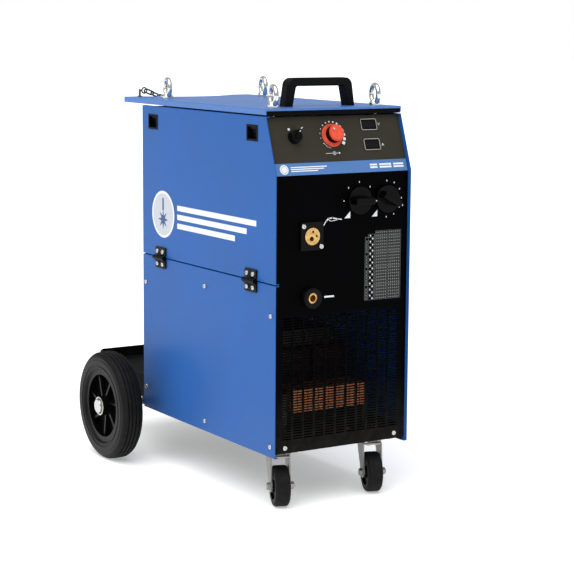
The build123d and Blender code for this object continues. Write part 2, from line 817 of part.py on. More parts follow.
def mode_knob():
    """Small pointer knob of the mode switch."""
    frame = fascia_frame * Pos(mode_knob_x, mode_knob_up, 0) * Rot(0, 0, -mode_rest_angle)
    base = (Align.CENTER, Align.CENTER, Align.MIN)
    body = Pos(0, 0, knob_gap) * Cone(mode_knob_radius, mode_knob_radius - 2.0, 13.0, align=base)
    body = fillet(body.edges().group_by(Axis.Z)[-1], 1.2)
    pointer = Pos(0, 4.5, knob_gap + 9.0) * Box(4.0, 2 * mode_knob_radius - 6, 14.0)
    pointer = pointer & (Pos(0, 0, knob_gap) * Cylinder(mode_knob_radius + 2.0, 16.0, align=base))
    shaft = Pos(0, 0, -12.0) * Cylinder(shaft_radius, 12.0 + knob_gap, align=base)
    return frame * (body + pointer + shaft)


def step_switch_knob(x, angle):
    """Wing knob of a step switch; the wing points along the given angle from +X."""
    plane = Plane(origin=(x, front_face, switch_height), x_dir=(1, 0, 0), z_dir=(0, -1, 0))
    frame = plane * Rot(0, 0, angle)
    base = (Align.CENTER, Align.CENTER, Align.MIN)
    disc = Pos(0, 0, knob_gap) * Cylinder(switch_disc_radius, switch_disc_height, align=base)
    disc = fillet(disc.edges().group_by(Axis.Z)[-1], 1.6)
    top = knob_gap + switch_disc_height
    reach = switch_disc_radius - 1.0
    outline = make_face(
        Polyline(
            (reach, -2.0),
            (reach, 2.0),
            (reach - 9.0, switch_grip_width / 2),
            (-reach + 4.0, switch_grip_width / 2),
            (-reach + 4.0, -switch_grip_width / 2),
            (reach - 9.0, -switch_grip_width / 2),
            close=True,
        )
    )
    grip = extrude(Pos(0, 0, top - 2.0) * outline, switch_grip_height + 2.0)
    grip = fillet(grip.faces().sort_by(Axis.Z)[-1].edges(), 1.5)
    shaft = Pos(0, 0, -25.0) * Cylinder(shaft_radius, 25.0 + knob_gap, align=base)
    return frame * (disc + grip + shaft)


# ---- sockets, meters and small fittings --------------------------------------------------------
def torch_flange_plate():
    """Square insulating flange of the central torch connector."""
    half_x = torch_flange / 2
    half_z = torch_flange_height / 2
    y0 = front_face - torch_flange_sheet
    plate = block(
        socket_x - half_x, socket_x + half_x, y0, front_face, torch_height - half_z, torch_height + half_z
    )
    plate = fillet(plate.edges().filter_by(Axis.Y), 4.0)
    plate = plate - rod((socket_x, y0 - 1, torch_height), (0, 1, 0), torch_core_radius, 20)
    return drill(plate, torch_screw_places(), m5_length, m5_radius + hole_clearance)


def torch_core():
    """Brass core of the torch connector with the wire bore and two contact holes."""
    y0 = front_face - torch_flange_sheet - 1.0
    core = rod((socket_x, y0, torch_height), (0, 1, 0), torch_core_radius, 36.0)
    holes = [(-2.0, -4.6, torch_bore_radius, 24.0), (1.0, 8.6, 2.4, 14.0), (9.4, 0.4, 2.4, 14.0)]
    for dx, dz, radius, depth in holes:
        core = core - rod((socket_x + dx, y0 - 1, torch_height + dz), (0, 1, 0), radius, depth + 1)
    return core


def earth_body():
    """Insulating body of the return lead's bayonet socket."""
    collar = rod((socket_x, front_face - 11.0, earth_height), (0, 1, 0), earth_collar_radius, 11.0)
    collar = fillet(collar.edges().sort_by(Axis.Y)[0], 2.0)
    body = rod((socket_x, front_face, earth_height), (0, 1, 0), earth_body_radius, 26.0)
    return collar + body - rod((socket_x, -30, earth_height), (0, 1, 0), earth_contact_radius, 90)


def earth_contact():
    """Brass contact tube of the return lead's socket."""
    y0 = front_face - 8.5
    tube = rod((socket_x, y0, earth_height), (0, 1, 0), earth_contact_radius, 46.0)
    return tube - rod((socket_x, y0 - 1, earth_height), (0, 1, 0), earth_bore_radius, 29.0)


def meter_frame(up):
    """Raised frame of one digital meter."""
    frame = fascia_frame * Pos(meter_x, up, 0)
    ring = Pos(0, 0, 0.8) * Box(meter_width, meter_height, 1.6)
    window = Box(meter_width - 2 * meter_border, meter_height - 2 * meter_border, 8.0)
    return frame * (ring - window)


def meter_window(up):
    """Smoked window and display block behind one meter frame."""
    frame = fascia_frame * Pos(meter_x, up, 0)
    rear = Pos(0, 0, -4.0) * Box(meter_width - 4, meter_height - 4, 8.0)
    front = Pos(0, 0, 0.5) * Box(meter_width - 2 * meter_border, meter_height - 2 * meter_border, 1.0)
    return frame * (rear + front)


def control_board():
    """Circuit board behind the fascia with its relays and a heat sink."""
    board = Pos(0, 74.0, -15.0) * Box(236.0, 76.0, 1.6)
    for x, up, size_x, size_y, tall in (
        (-96, 75.5, 22, 22, 10), (-10, 77, 22, 22, 10), (30, 58, 18, 14, 12), (-50, 92, 26, 12, 14),
    ):
        board = board + Pos(x, up, -15.8 - tall / 2) * Box(size_x, size_y, tall)
    return fascia_frame * board


def cable_gland():
    """Mains cable gland, open for the supply lead."""
    nut = hexagon_bar((gland_x, rear_face, gland_z), (0, 1, 0), 30.0, 7.0)
    cap = rod((gland_x, rear_face + 7, gland_z), (0, 1, 0), 14.0, 17.0)
    cap = fillet(cap.edges().sort_by(Axis.Y)[-1], 3.0)
    thread = rod((gland_x, rear_face, gland_z), (0, -1, 0), gland_thread, 12.0)
    inner_nut = hexagon_bar((gland_x, rear_face - panel_sheet, gland_z), (0, -1, 0), 30.0, 6.0)
    body = nut + cap + thread + inner_nut
    return body - rod((gland_x, rear_face + 40, gland_z), (0, -1, 0), gland_bore, 80)


def gas_inlet():
    """Gas inlet union with its hose spigot."""
    nut = hexagon_bar((inlet_x, rear_face, inlet_z), (0, 1, 0), 19.0, 6.0)
    stub = rod((inlet_x, rear_face + 6, inlet_z), (0, 1, 0), inlet_thread, 16.0)
    thread = rod((inlet_x, rear_face, inlet_z), (0, -1, 0), inlet_thread, 14.0)
    inner_nut = hexagon_bar((inlet_x, rear_face - panel_sheet, inlet_z), (0, -1, 0), 19.0, 5.0)
    body = nut + stub + thread + inner_nut
    return body - rod((inlet_x, rear_face + 40, inlet_z), (0, -1, 0), inlet_bore, 80)


# ---- power section -----------------------------------------------------------------------------
def limb_centres():
    """Middles of the transformer's three limbs."""
    pitch = (transformer_length - transformer_bar) / 2
    return [-pitch, 0.0, pitch]


def transformer_core():
    """Laminated three-limb core on two feet."""
    low = base_top + 10.0
    high = low + coil_height + 2 * transformer_bar
    y0 = transformer_y - transformer_depth / 2
    y1 = transformer_y + transformer_depth / 2
    half = transformer_length / 2
    core = block(-half, half, y0, y1, low, high)
    limbs = limb_centres()
    for left, right in zip(limbs, limbs[1:]):
        x0 = left + transformer_bar / 2
        x1 = right - transformer_bar / 2
        core = core - block(x0, x1, y0 - 1, y1 + 1, low + transformer_bar, high - transformer_bar)
    for side in (-1, 1):
        x0, x1 = sorted((side * (half - 10), side * (half - 40)))
        core = core + block(x0, x1, y0 - 12, y1 + 12, base_top, low)
    return core


def transformer_coils():
    """Copper windings on the three limbs."""
    low = base_top + 10.0 + transformer_bar
    pitch = limb_centres()[1] - limb_centres()[0]
    half_x = pitch / 2 - 3.0
    half_y = transformer_depth / 2 + pitch / 2 - transformer_bar / 2 - 3.0
    coils = []
    for x in limb_centres():
        coil = block(
            x - half_x, x + half_x, transformer_y - half_y, transformer_y + half_y, low + 2, low + coil_height - 2
        )
        coil = fillet(coil.edges().filter_by(Axis.Z), 14.0)
        limb = block(
            x - transformer_bar / 2, x + transformer_bar / 2,
            transformer_y - transformer_depth / 2, transformer_y + transformer_depth / 2,
            low, low + coil_height,
        )
        coils.append(coil - limb)
    return coils


def output_choke():
    """Smoothing choke behind the grille: iron bar on two legs and its flat copper winding."""
    half = choke_length / 2 + 16.0
    bar = block(-half, half, choke_y - 14, choke_y + 14, choke_z - 12, choke_z + 12)
    for side in (-1, 1):
        x0, x1 = sorted((side * half, side * (half - 12)))
        bar = bar + block(x0, x1, choke_y - 14, choke_y + 14, base_top, choke_z + 12)
    turns = 14
    pitch = choke_length / turns
    half_y = choke_winding_depth / 2
    half_z = choke_winding_height / 2
    winding = block(
        -choke_length / 2, choke_length / 2,
        choke_y - half_y + 3, choke_y + half_y - 3, choke_z - half_z + 3, choke_z + half_z - 3,
    )
    for index in range(turns):
        x0 = -choke_length / 2 + index * pitch + 1.0
        winding = winding + block(
            x0, x0 + pitch - 2.0, choke_y - half_y, choke_y + half_y, choke_z - half_z, choke_z + half_z
        )
    return [bar, winding - bar]


def rectifier_stack():
    """Finned rectifier in the control space, standing on the shelf."""
    low = shelf_height + shelf_sheet
    stack = block(40, 140, 380, 390, low, low + 110)
    for index in range(9):
        x0 = 42.0 + index * 11.5
        stack = stack + block(x0, x0 + 3.0, 390, 450, low, low + 110)
    for x in (62, 90, 118):
        stack = stack + rod((x, 380, low + 60), (0, -1, 0), 11.0, 14.0)
    return stack


def contactor():
    """Mains contactor on the shelf."""
    low = shelf_height + shelf_sheet
    body = block(60, 116, 290, 352, low, low + 52)
    top = block(66, 110, 298, 344, low + 52, low + 74)
    for x in (74, 88, 102):
        body = body - block(x - 4, x + 4, 289, 300, low + 36, low + 53)
    return body + top


def fan_frame():
    """Ring, struts and motor of the cooling fan."""
    start = (0, fan_front, fan_z)
    frame = pipe(start, (0, 1, 0), fan_radius + 7.0, fan_radius + 2.0, fan_depth)
    frame = frame + rod(start, (0, 1, 0), fan_hub_radius, 9.0)
    for angle in (90, 210, 330):
        arm = Plane(origin=start, z_dir=(0, 1, 0)) * Rot(0, 0, angle)
        frame = frame + arm * Pos((fan_hub_radius + fan_radius) / 2 + 2, 0, 2.5) * Box(
            fan_radius - fan_hub_radius + 6, 9.0, 5.0
        )
    for side in (-1, 1):
        x0, x1 = sorted((side * (fan_radius - 2), side * (fan_radius + 9)))
        frame = frame + block(
            x0, x1, fan_front + fan_depth - 4, fan_front + fan_depth + 3, fan_z - 60, fan_z + 60
        )
    ring_space = rod(start, (0, 1, 0), fan_radius + 2.0, fan_depth)
    struts = rod(start, (0, 1, 0), fan_radius + 2.0, 9.0)
    frame = frame - (ring_space - struts)
    return frame - rod((0, fan_front + 2, fan_z), (0, 1, 0), shaft_radius + running_gap, 20)


def fan_impeller():
    """Seven-bladed impeller with its shaft."""
    gap = fan_front + 10.0
    wheel = rod((0, gap, fan_z), (0, 1, 0), fan_hub_radius, 26.0)
    length = fan_radius - fan_hub_radius
    for index in range(fan_blades):
        turn = Plane(origin=(0, gap + 13.0, fan_z), z_dir=(0, 1, 0)) * Rot(0, 0, index * 360 / fan_blades)
        blade = turn * Pos(fan_hub_radius + length / 2 - 3, 0, 0) * Rot(28, 0, 0) * Box(length, 42.0, 2.6)
        wheel = wheel + blade
    wheel = wheel & rod((0, gap, fan_z), (0, 1, 0), fan_radius, 26.0)
    return wheel + rod((0, fan_front + 3, fan_z), (0, 1, 0), shaft_radius, 12.0)


# ---- wire feed ---------------------------------------------------------------------------------
def wire_guide(y0, y1, holder_y):
    """Tube that leads the wire to or from the rolls, on a block against the mounting plate."""
    guide = rod((socket_x, y0, torch_height), (0, 1, 0), 3.0, y1 - y0)
    guide = guide + block(
        socket_x + 1.5, feeder_plate_x, holder_y - 5, holder_y + 5, torch_height - 5, torch_height + 5
    )
    return guide - rod((socket_x, y0 - 1, torch_height), (0, 1, 0), 1.0, y1 - y0 + 2)


def feeder_plate():
    """Mounting plate of the wire drive with its pillars and pivot pin, and the two wire guides."""
    x0 = feeder_plate_x
    x1 = feeder_plate_x + feeder_plate_thickness
    plate = block(x0, x1, 66, 196, 352, 470)
    for y in (78, 184):
        for z in (364, 458):
            plate = plate + rod((x1, y, z), (1, 0, 0), 6.0, divider_x - x1)
    plate = plate + rod((x0, arm_pivot_y, arm_pivot_z), (-1, 0, 0), roll_pin_radius, x0 - arm_x + arm_sheet)
    bore = feed_shaft_radius + running_gap
    plate = plate - rod((x0 - 1, feed_roll_y, feed_axis_z), (1, 0, 0), bore, feeder_plate_thickness + 2)
    front_guide = wire_guide(front_face + 32.0, feed_roll_y - 21.0, 80.0)
    rear_guide = wire_guide(feed_roll_y + 21.0, 196.0, 190.0)
    return [plate, front_guide, rear_guide]


def feeder_motor():
    """Geared motor of the wire drive, behind its plate."""
    x1 = feeder_plate_x + feeder_plate_thickness
    gearbox = block(x1, x1 + 34, feed_roll_y - 30, feed_roll_y + 30, feed_axis_z - 32, feed_axis_z + 32)
    motor = rod((x1 + 34, feed_roll_y, feed_axis_z), (1, 0, 0), motor_radius, 84.0)
    bore = feed_shaft_radius + running_gap
    return gearbox + motor - rod((x1 - 1, feed_roll_y, feed_axis_z), (1, 0, 0), bore, 17)


def drive_roll():
    """Grooved drive roll on its shaft."""
    roll = rod((roll_x, feed_roll_y, feed_axis_z), (1, 0, 0), feed_roll_radius, feed_roll_width)
    groove = Pos(socket_x, feed_roll_y, feed_axis_z) * Rot(0, 90, 0) * Torus(feed_roll_radius + 0.3, 0.8)
    shaft_end = feeder_plate_x + feeder_plate_thickness + 14.0
    shaft = rod((roll_x - 2, feed_roll_y, feed_axis_z), (1, 0, 0), feed_shaft_radius, shaft_end - roll_x + 2)
    cap = rod((roll_x - 6, feed_roll_y, feed_axis_z), (1, 0, 0), 9.0, 6.0)
    return roll - groove + shaft + cap


def pressure_arm():
    """Swing arm with the roll's pin and the tension knob."""
    outline = [
        (arm_pivot_y + 8, arm_pivot_z - 8),
        (arm_pivot_y + 8, arm_pivot_z + 8),
        (feed_roll_y + 10, pressure_axis_z + 14),
        (feed_roll_y - 32, pressure_axis_z + 14),
        (feed_roll_y - 32, pressure_axis_z + 2),
        (feed_roll_y - 8, pressure_axis_z - 8),
    ]
    arm = side_prism(outline, arm_x - arm_sheet / 2, arm_x + arm_sheet / 2)
    arm = arm + rod((roll_x - 3, feed_roll_y, pressure_axis_z), (1, 0, 0), roll_pin_radius, arm_x - roll_x + 3)
    arm = arm + rod((roll_x - 5, feed_roll_y, pressure_axis_z), (1, 0, 0), 7.0, 3.0)
    knob_y = feed_roll_y - 26.0
    arm = arm + block(roll_x, arm_x, knob_y - 6, knob_y + 6, pressure_axis_z + 8, pressure_axis_z + 14)
    knob = rod((roll_x + 6, knob_y, pressure_axis_z + 14), (0, 0, 1), 8.0, 26.0)
    arm = arm + fillet(knob.edges().sort_by(Axis.Z)[-1], 2.5)
    hole = roll_pin_radius + running_gap
    return arm - rod((arm_x - 10, arm_pivot_y, arm_pivot_z), (1, 0, 0), hole, 20)


def pressure_roll():
    """Idler roll that presses the wire onto the drive roll."""
    roll = rod((roll_x, feed_roll_y, pressure_axis_z), (1, 0, 0), feed_roll_radius, feed_roll_width)
    return roll - rod(
        (roll_x - 1, feed_roll_y, pressure_axis_z), (1, 0, 0), roll_pin_radius + running_gap, feed_roll_width + 2
    )


def spool_hub():
    """Braked spool hub on the divider, with its end cap screwed on."""
    flange = rod((divider_x, spool_y, spool_z), (-1, 0, 0), 36.0, 6.0)
    reach = divider_x - 6.0 - (spool_x - spool_width / 2) + 3.0
    spindle = rod((divider_x - 6, spool_y, spool_z), (-1, 0, 0), spool_hub_radius, reach)
    stud = rod((divider_x, spool_y, spool_z), (1, 0, 0), 6.0, 14.0)
    end = divider_x - 6.0 - reach
    cap = rod((end, spool_y, spool_z), (-1, 0, 0), 17.0, 9.0)
    cap = fillet(cap.edges().sort_by(Axis.X)[0], 3.0)
    return flange + spindle + stud + cap


def wire_spool():
    """Spool with two flanges, and the wire wound on it."""
    x0 = spool_x - spool_width / 2
    axis = (1, 0, 0)
    bore = rod((x0 - 1, spool_y, spool_z), axis, spool_bore_radius - 0.04, spool_width + 2)
    spool = rod((x0, spool_y, spool_z), axis, spool_barrel_radius, spool_width)
    spool = spool - rod((x0 + 4, spool_y, spool_z), axis, spool_barrel_radius - 4, spool_width - 8)
    spool = spool + rod((x0, spool_y, spool_z), axis, spool_bore_radius + 4, spool_width)
    for x in (x0, x0 + spool_width - 3.5):
        spool = spool + rod((x, spool_y, spool_z), axis, spool_radius - 3.0, 3.5)
    for x in (x0 - 1, x0 + spool_width - 5):
        for index in range(6):
            turn = math.radians(index * 60 + 30)
            y = spool_y + 62 * math.cos(turn)
            z = spool_z + 62 * math.sin(turn)
            spool = spool - rod((x, y, z), axis, 20.0, 6.0)
    wire = pipe(
        (x0 + 3.5, spool_y, spool_z), axis, spool_radius - 18, spool_barrel_radius, spool_width - 7.0
    )
    return [spool - bore, wire]


# ---- rear wheels -------------------------------------------------------------------------------
def tyre():
    """Rubber tyre with a rounded tread and circumferential grooves, about the X axis."""
    half = tyre_width / 2
    shoulder = 15.0
    seat = rim_width / 2
    outline = Polyline((-half + shoulder, tyre_radius), (half - shoulder, tyre_radius))
    outline = outline + ThreePointArc(
        (half - shoulder, tyre_radius),
        (half - shoulder * 0.29, tyre_radius - shoulder * 0.29),
        (half, tyre_radius - shoulder),
    )
    outline = outline + Polyline(
        (half, tyre_radius - shoulder),
        (half, rim_seat_radius + 8.0),
        (seat, rim_seat_radius),
        (-seat, rim_seat_radius),
        (-half, rim_seat_radius + 8.0),
        (-half, tyre_radius - shoulder),
    )
    outline = outline + ThreePointArc(
        (-half, tyre_radius - shoulder),
        (-half + shoulder * 0.29, tyre_radius - shoulder * 0.29),
        (-half + shoulder, tyre_radius),
    )
    ring = revolve(make_face(outline), Axis.X)
    for x in (-9.0, 0.0, 9.0):
        groove = pipe((x - 1.2, 0, 0), (1, 0, 0), tyre_radius + 5, tyre_radius - 3.0, 2.4)
        ring = ring - groove
    return ring


def rim():
    """Moulded rim with curved spokes and a hub, about the X axis."""
    x = (1, 0, 0)
    half = rim_width / 2
    ring = pipe((-half, 0, 0), x, rim_seat_radius, rim_seat_radius - 6.0, rim_width)
    web = rod((-2.5, 0, 0), x, rim_seat_radius - 3.0, 5.0)
    hub = rod((-hub_length / 2, 0, 0), x, hub_radius, hub_length)
    bead = pipe((-half, 0, 0), x, rim_seat_radius - 4.0, rim_seat_radius - 10.0, 4.0)
    wheel = ring + web + hub + bead + Pos(rim_width - 4.0, 0, 0) * bead
    inner = hub_radius - 3.0
    outer = rim_seat_radius - 3.0
    for index in range(rim_spokes):
        bend = ThreePointArc((inner, 0), ((inner + outer) / 2 - 4, 9.0), (outer * 0.955, outer * 0.28))
        spoke = Pos(-14.0, 0, 0) * Rot(index * 360 / rim_spokes, 0, 0) * extrude(Plane.YZ * trace(bend, 5.0), 28.0)
        wheel = wheel + spoke
    wheel = wheel & rod((-hub_length / 2, 0, 0), x, rim_seat_radius, hub_length)
    return wheel - rod((-hub_length / 2 - 1, 0, 0), x, axle_radius + running_gap, hub_length + 2)


def rear_axle():
    """Axle across the cabinet with a collar inside each wheel."""
    reach = wheel_track / 2 + hub_length / 2 + 3.0
    axle = rod((-reach, axle_y, axle_z), (1, 0, 0), axle_radius, 2 * reach)
    inner = wheel_track / 2 - hub_length / 2
    for side in (-1, 1):
        start = (side * (inner - 0.4), axle_y, axle_z)
        axle = axle + rod(start, (-side, 0, 0), axle_radius + 4.0, 3.0)
    return axle


def axle_caps():
    """Pressed caps on both ends of the axle."""
    caps = []
    for side in (-1, 1):
        start = side * (wheel_track / 2 + hub_length / 2 + 0.4)
        cap = rod((start, axle_y, axle_z), (side, 0, 0), cap_radius, cap_length)
        rim_edge = cap.edges().sort_by(Axis.X)[-1 if side > 0 else 0]
        cap = fillet(rim_edge, 2.0)
        caps.append(cap - rear_axle())
    return caps


# ---- casters -----------------------------------------------------------------------------------
def caster_frame(side):
    """Swivel axis of one caster at floor-wheel orientation."""
    return Location((side * caster_spacing / 2, caster_setback, 0)) * Rot(0, 0, caster_yaw)


def caster_plate(side):
    """Fixed top plate of one caster with its race cup and kingpin."""
    top = base_bottom
    low = top - caster_plate_sheet
    x = side * caster_spacing / 2
    plate = block(
        x - caster_plate_x / 2, x + caster_plate_x / 2,
        caster_setback - caster_plate_y / 2, caster_setback + caster_plate_y / 2, low, top,
    )
    plate = fillet(plate.edges().filter_by(Axis.Z), 8.0)
    plate = drill(plate, caster_bolt_places(), 20, m8_radius + hole_clearance)
    cup = rod((x, caster_setback, low), (0, 0, -1), 26.0, race_height)
    cup = fillet(cup.edges().sort_by(Axis.Z)[0], 2.5)
    pin = rod((x, caster_setback, low), (0, 0, -1), kingpin_radius, race_height + 15.0)
    head = rod((x, caster_setback, low - race_height - 8.0), (0, 0, -1), 11.0, 5.0)
    return plate + cup + pin + head


def caster_fork(side):
    """Swivel fork with its axle bolt and nut."""
    half_gap = fork_gap / 2
    outer = half_gap + fork_leg
    low = fork_top - fork_crown
    crown = Pos(0, 0, low) * Cylinder(27.0, fork_crown, align=(Align.CENTER, Align.CENTER, Align.MIN))
    crown = crown + block(-outer, outer, -34.0, 14.0, low, low + 3.0)
    leg_outline = [
        (14.0, low + 3.0),
        (-34.0, low + 3.0),
        (-caster_trail - 11.0, caster_axle_z),
        (-caster_trail, caster_axle_z - 11.0),
        (-caster_trail + 11.0, caster_axle_z),
    ]
    fork = crown
    for x0 in (-outer, half_gap):
        fork = fork + side_prism(leg_outline, x0, x0 + fork_leg)
        fork = fork + rod((x0, -caster_trail, caster_axle_z), (1, 0, 0), 12.0, fork_leg)
    hole = kingpin_radius + running_gap
    fork = fork - rod((0, 0, low - 1), (0, 0, 1), hole, fork_crown + 2)
    fork = fork - rod((-outer - 1, -caster_trail, caster_axle_z), (1, 0, 0), m8_radius, 2 * outer + 2)
    head = hexagon_bar((-outer, -caster_trail, caster_axle_z), (-1, 0, 0), 13.0, 6.0)
    bolt = head + rod((-outer, -caster_trail, caster_axle_z), (1, 0, 0), m8_radius, 2 * outer + 9.0)
    nut = hexagon_bar((outer, -caster_trail, caster_axle_z), (1, 0, 0), 13.0, 7.0)
    nut = nut - rod((outer - 1, -caster_trail, caster_axle_z), (1, 0, 0), m8_radius, 20)
    return [caster_frame(side) * piece for piece in (fork, bolt, nut)]


def caster_wheel(side):
    """Caster wheel: moulded core with a rubber tread, one solid."""
    half = caster_width / 2
    wheel = rod((-half, 0, 0), (1, 0, 0), caster_radius, caster_width)
    wheel = fillet(wheel.edges(), 6.0)
    for x0, x1 in ((-half - 1, -half + 5), (half - 5, half + 1)):
        wheel = wheel - pipe((x0, 0, 0), (1, 0, 0), 27.0, 12.0, x1 - x0)
    boss = fork_gap / 2 - 0.5
    wheel = wheel + rod((-boss, 0, 0), (1, 0, 0), 11.0, 2 * boss)
    wheel = wheel - rod((-boss - 1, 0, 0), (1, 0, 0), m8_radius + running_gap, 2 * boss + 2)
    return caster_frame(side) * Pos(0, -caster_trail, caster_axle_z) * wheel


# ---- cylinder platform and chain ---------------------------------------------------------------
def cylinder_platform():
    """Platform behind the cabinet with a rear lip, an upright and two axle gussets."""
    y0 = rear_face
    half = platform_width / 2
    low = platform_top - platform_sheet
    deck = block(-half, half, y0, platform_rear, low, platform_top)
    skirt = block(-half, half, y0, platform_rear, platform_top - platform_edge, low)
    inside = block(
        -half + platform_sheet, half - platform_sheet, y0 - 1, platform_rear - platform_sheet,
        platform_top - platform_edge - 1, low,
    )
    lip = block(
        -half, half, platform_rear - platform_sheet, platform_rear, platform_top, platform_top + platform_lip
    )
    lip = fillet(lip.edges().filter_by(Axis.Y).group_by(Axis.Z)[-1], 10.0)
    upright = block(-half, half, y0, y0 + platform_sheet, base_top, low)
    frame = deck + (skirt - inside) + lip + upright
    outline = [
        (y0, low),
        (platform_rear - 60.0, low),
        (platform_rear - 60.0, low - 8.0),
        (axle_y + gusset_boss, axle_z - gusset_boss * 0.5),
        (axle_y, axle_z - gusset_boss),
        (y0, axle_z - gusset_boss),
    ]
    for x0 in (-half, half - gusset_sheet):
        frame = frame + side_prism(outline, x0, x0 + gusset_sheet)
    frame = frame - rod((-half_width, axle_y, axle_z), (1, 0, 0), axle_radius, cabinet_width)
    return drill(frame, platform_bolt_places(), 20, m8_radius + hole_clearance)


def chain_link():
    """One round-wire link along X, lying in XY."""
    radius = link_width / 2 - chain_wire
    straight = link_length / 2 - link_width / 2
    section = Plane(origin=(0, radius, 0), z_dir=(1, 0, 0)) * Circle(chain_wire)
    path = Polyline((0, radius), (straight, radius))
    path = path + ThreePointArc((straight, radius), (straight + radius, 0), (straight, -radius))
    path = path + Polyline((straight, -radius), (0, -radius))
    half = sweep(section, path=path)
    return half + mirror(half, about=Plane.YZ)


def chain_height(x):
    """Height of the sagging chain above the side panels' lower edges."""
    share = (x - chain_left) / (chain_right - chain_left)
    straight = chain_rise - (chain_rise + chain_drop) * share
    return lid_top + straight - 4 * chain_sag * share * (1 - share)


def chain_ring(x, height):
    """Ring that holds one end of the chain, standing in the plane of the chain."""
    return Pos(x, chain_y, height) * Rot(90, 0, 0) * Torus(chain_ring_radius, chain_ring_wire)


def chain_post():
    """Post on the lid's left horn, with the ring of the chain's left end."""
    ring_x = chain_left - 3.4
    height = chain_height(chain_left)
    post_x = ring_x - chain_ring_radius - 5.0
    post = rod((post_x, chain_y, lid_top), (0, 0, 1), 2.4, height - lid_top + 3.0)
    post = post + rod((post_x, chain_y, lid_top), (0, 0, 1), 5.0, 2.0)
    arm = rod((post_x, chain_y, height), (1, 0, 0), chain_arm_radius, 5.6)
    return post + arm + chain_ring(ring_x, height)


def chain_eye():
    """Ring of the chain's right end, on an arm that ends at the flange of the cradle."""
    ring_x = chain_right + 3.4
    height = chain_height(chain_right)
    arm = rod((ring_x + chain_ring_radius - 0.6, chain_y, height), (1, 0, 0), chain_arm_radius, 30.0)
    cradle = rod((0, cradle_centre_y, height - 10), (0, 0, 1), cradle_radius, 20.0)
    return chain_ring(ring_x, height) + (arm & cradle)


def retaining_chain():
    """Cylinder retaining chain across the cradle, between a post and a ring."""
    link = chain_link()
    step = (chain_right - chain_left) / chain_links
    pieces = [chain_post(), chain_eye()]
    for index in range(chain_links):
        x = chain_left + (index + 0.5) * step
        rise = chain_height(x + 1) - chain_height(x - 1)
        tilt = math.degrees(math.atan2(rise, 2))
        roll = 45 if index % 2 else -45
        place = Pos(x, chain_y, chain_height(x)) * Rot(0, -tilt, 0) * Rot(roll, 0, 0)
        pieces.append(place * link)
    return pieces


# ---- write every node --------------------------------------------------------------------------
def main():
    os.makedirs("parts", exist_ok=True)
    write("base_plate", base_plate())
    write("front_panel", front_panel())
    write("control_fascia", control_fascia())
    write("fascia_band", fascia_band())
    write("right_side_panel", right_side_panel())
    write("left_lower_panel", left_lower_panel())
    write("rear_panel", rear_panel())
    write("lid", lid())
    write("equipment_shelf", equipment_shelf())
    write("centre_divider", centre_divider())
    write("lifting_eyebolts", *lifting_eyebolts())
    write("carry_handle", carry_handle())
    screws = side_screw_places(1) + side_screw_places(-1) + end_screw_places() + torch_screw_places()
    screws = [pan_screw(place) for place in screws + handle_screw_places()]
    screws += [pan_screw(place, hinge_screw_length) for place in hinge_screw_places(False)]
    write("panel_screws", *screws)
    bolts = [piece for place in caster_bolt_places() for piece in hex_bolt(place, caster_grip)]
    bolts += [piece for place in platform_bolt_places() for piece in hex_bolt(place, end_grip)]
    write("hex_bolts", *bolts)
    write("hinge_lower_leaves", *hinge_lower_leaves())
    write("torch_socket_flange", torch_flange_plate())
    write("torch_socket_core", torch_core())
    write("earth_socket_body", earth_body())
    write("earth_socket_contact", earth_contact())
    write("meter_frames", meter_frame(meter_volt_up), meter_frame(meter_amp_up))
    write("meter_windows", meter_window(meter_volt_up), meter_window(meter_amp_up))
    write("control_board", control_board())
    write("transformer_core", transformer_core())
    write("transformer_coils", *transformer_coils())
    write("output_choke", *output_choke())
    write("rectifier_stack", rectifier_stack())
    write("contactor", contactor())
    write("fan_frame", fan_frame())
    write("fan_impeller", fan_impeller())
    write("feeder_plate", *feeder_plate())
    write("feeder_motor", feeder_motor())
    write("drive_roll", drive_roll())
    write("pressure_arm", pressure_arm())
    write("pressure_roll", pressure_roll())
    write("spool_hub", spool_hub())
    write("wire_spool", *wire_spool())
    write("cylinder_platform", cylinder_platform())
    write("retaining_chain", *retaining_chain())
    write("rear_axle", rear_axle())
    write("axle_caps", *axle_caps())
    write("cable_gland", cable_gland())
    write("gas_inlet", gas_inlet())
    write("side_door", side_door())
    write("hinge_door_leaves", *hinge_door_leaves())
    write("latch_housings", latch_housing(latch_front), latch_housing(latch_rear))
    write("latch_slide_front", latch_slide(latch_front))
    write("latch_slide_rear", latch_slide(latch_rear))
    write("wire_speed_knob", *speed_knob())
    write("mode_knob", mode_knob())
    write("coarse_switch_knob", step_switch_knob(coarse_switch_x, coarse_rest_angle))
    write("fine_switch_knob", step_switch_knob(fine_switch_x, fine_rest_angle))
    write("caster_plates", caster_plate(-1), caster_plate(1))
    for name, side in (("left", -1), ("right", 1)):
        place = Pos(side * wheel_track / 2, axle_y, axle_z)
        write(f"rear_tyre_{name}", place * tyre())
        write(f"rear_rim_{name}", place * rim())
        write(f"caster_fork_{name}", *caster_fork(side))
        write(f"caster_wheel_{name}", caster_wheel(side))


main()
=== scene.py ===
import json
import math

import bmesh
import bpy
from mathutils import Matrix, Vector


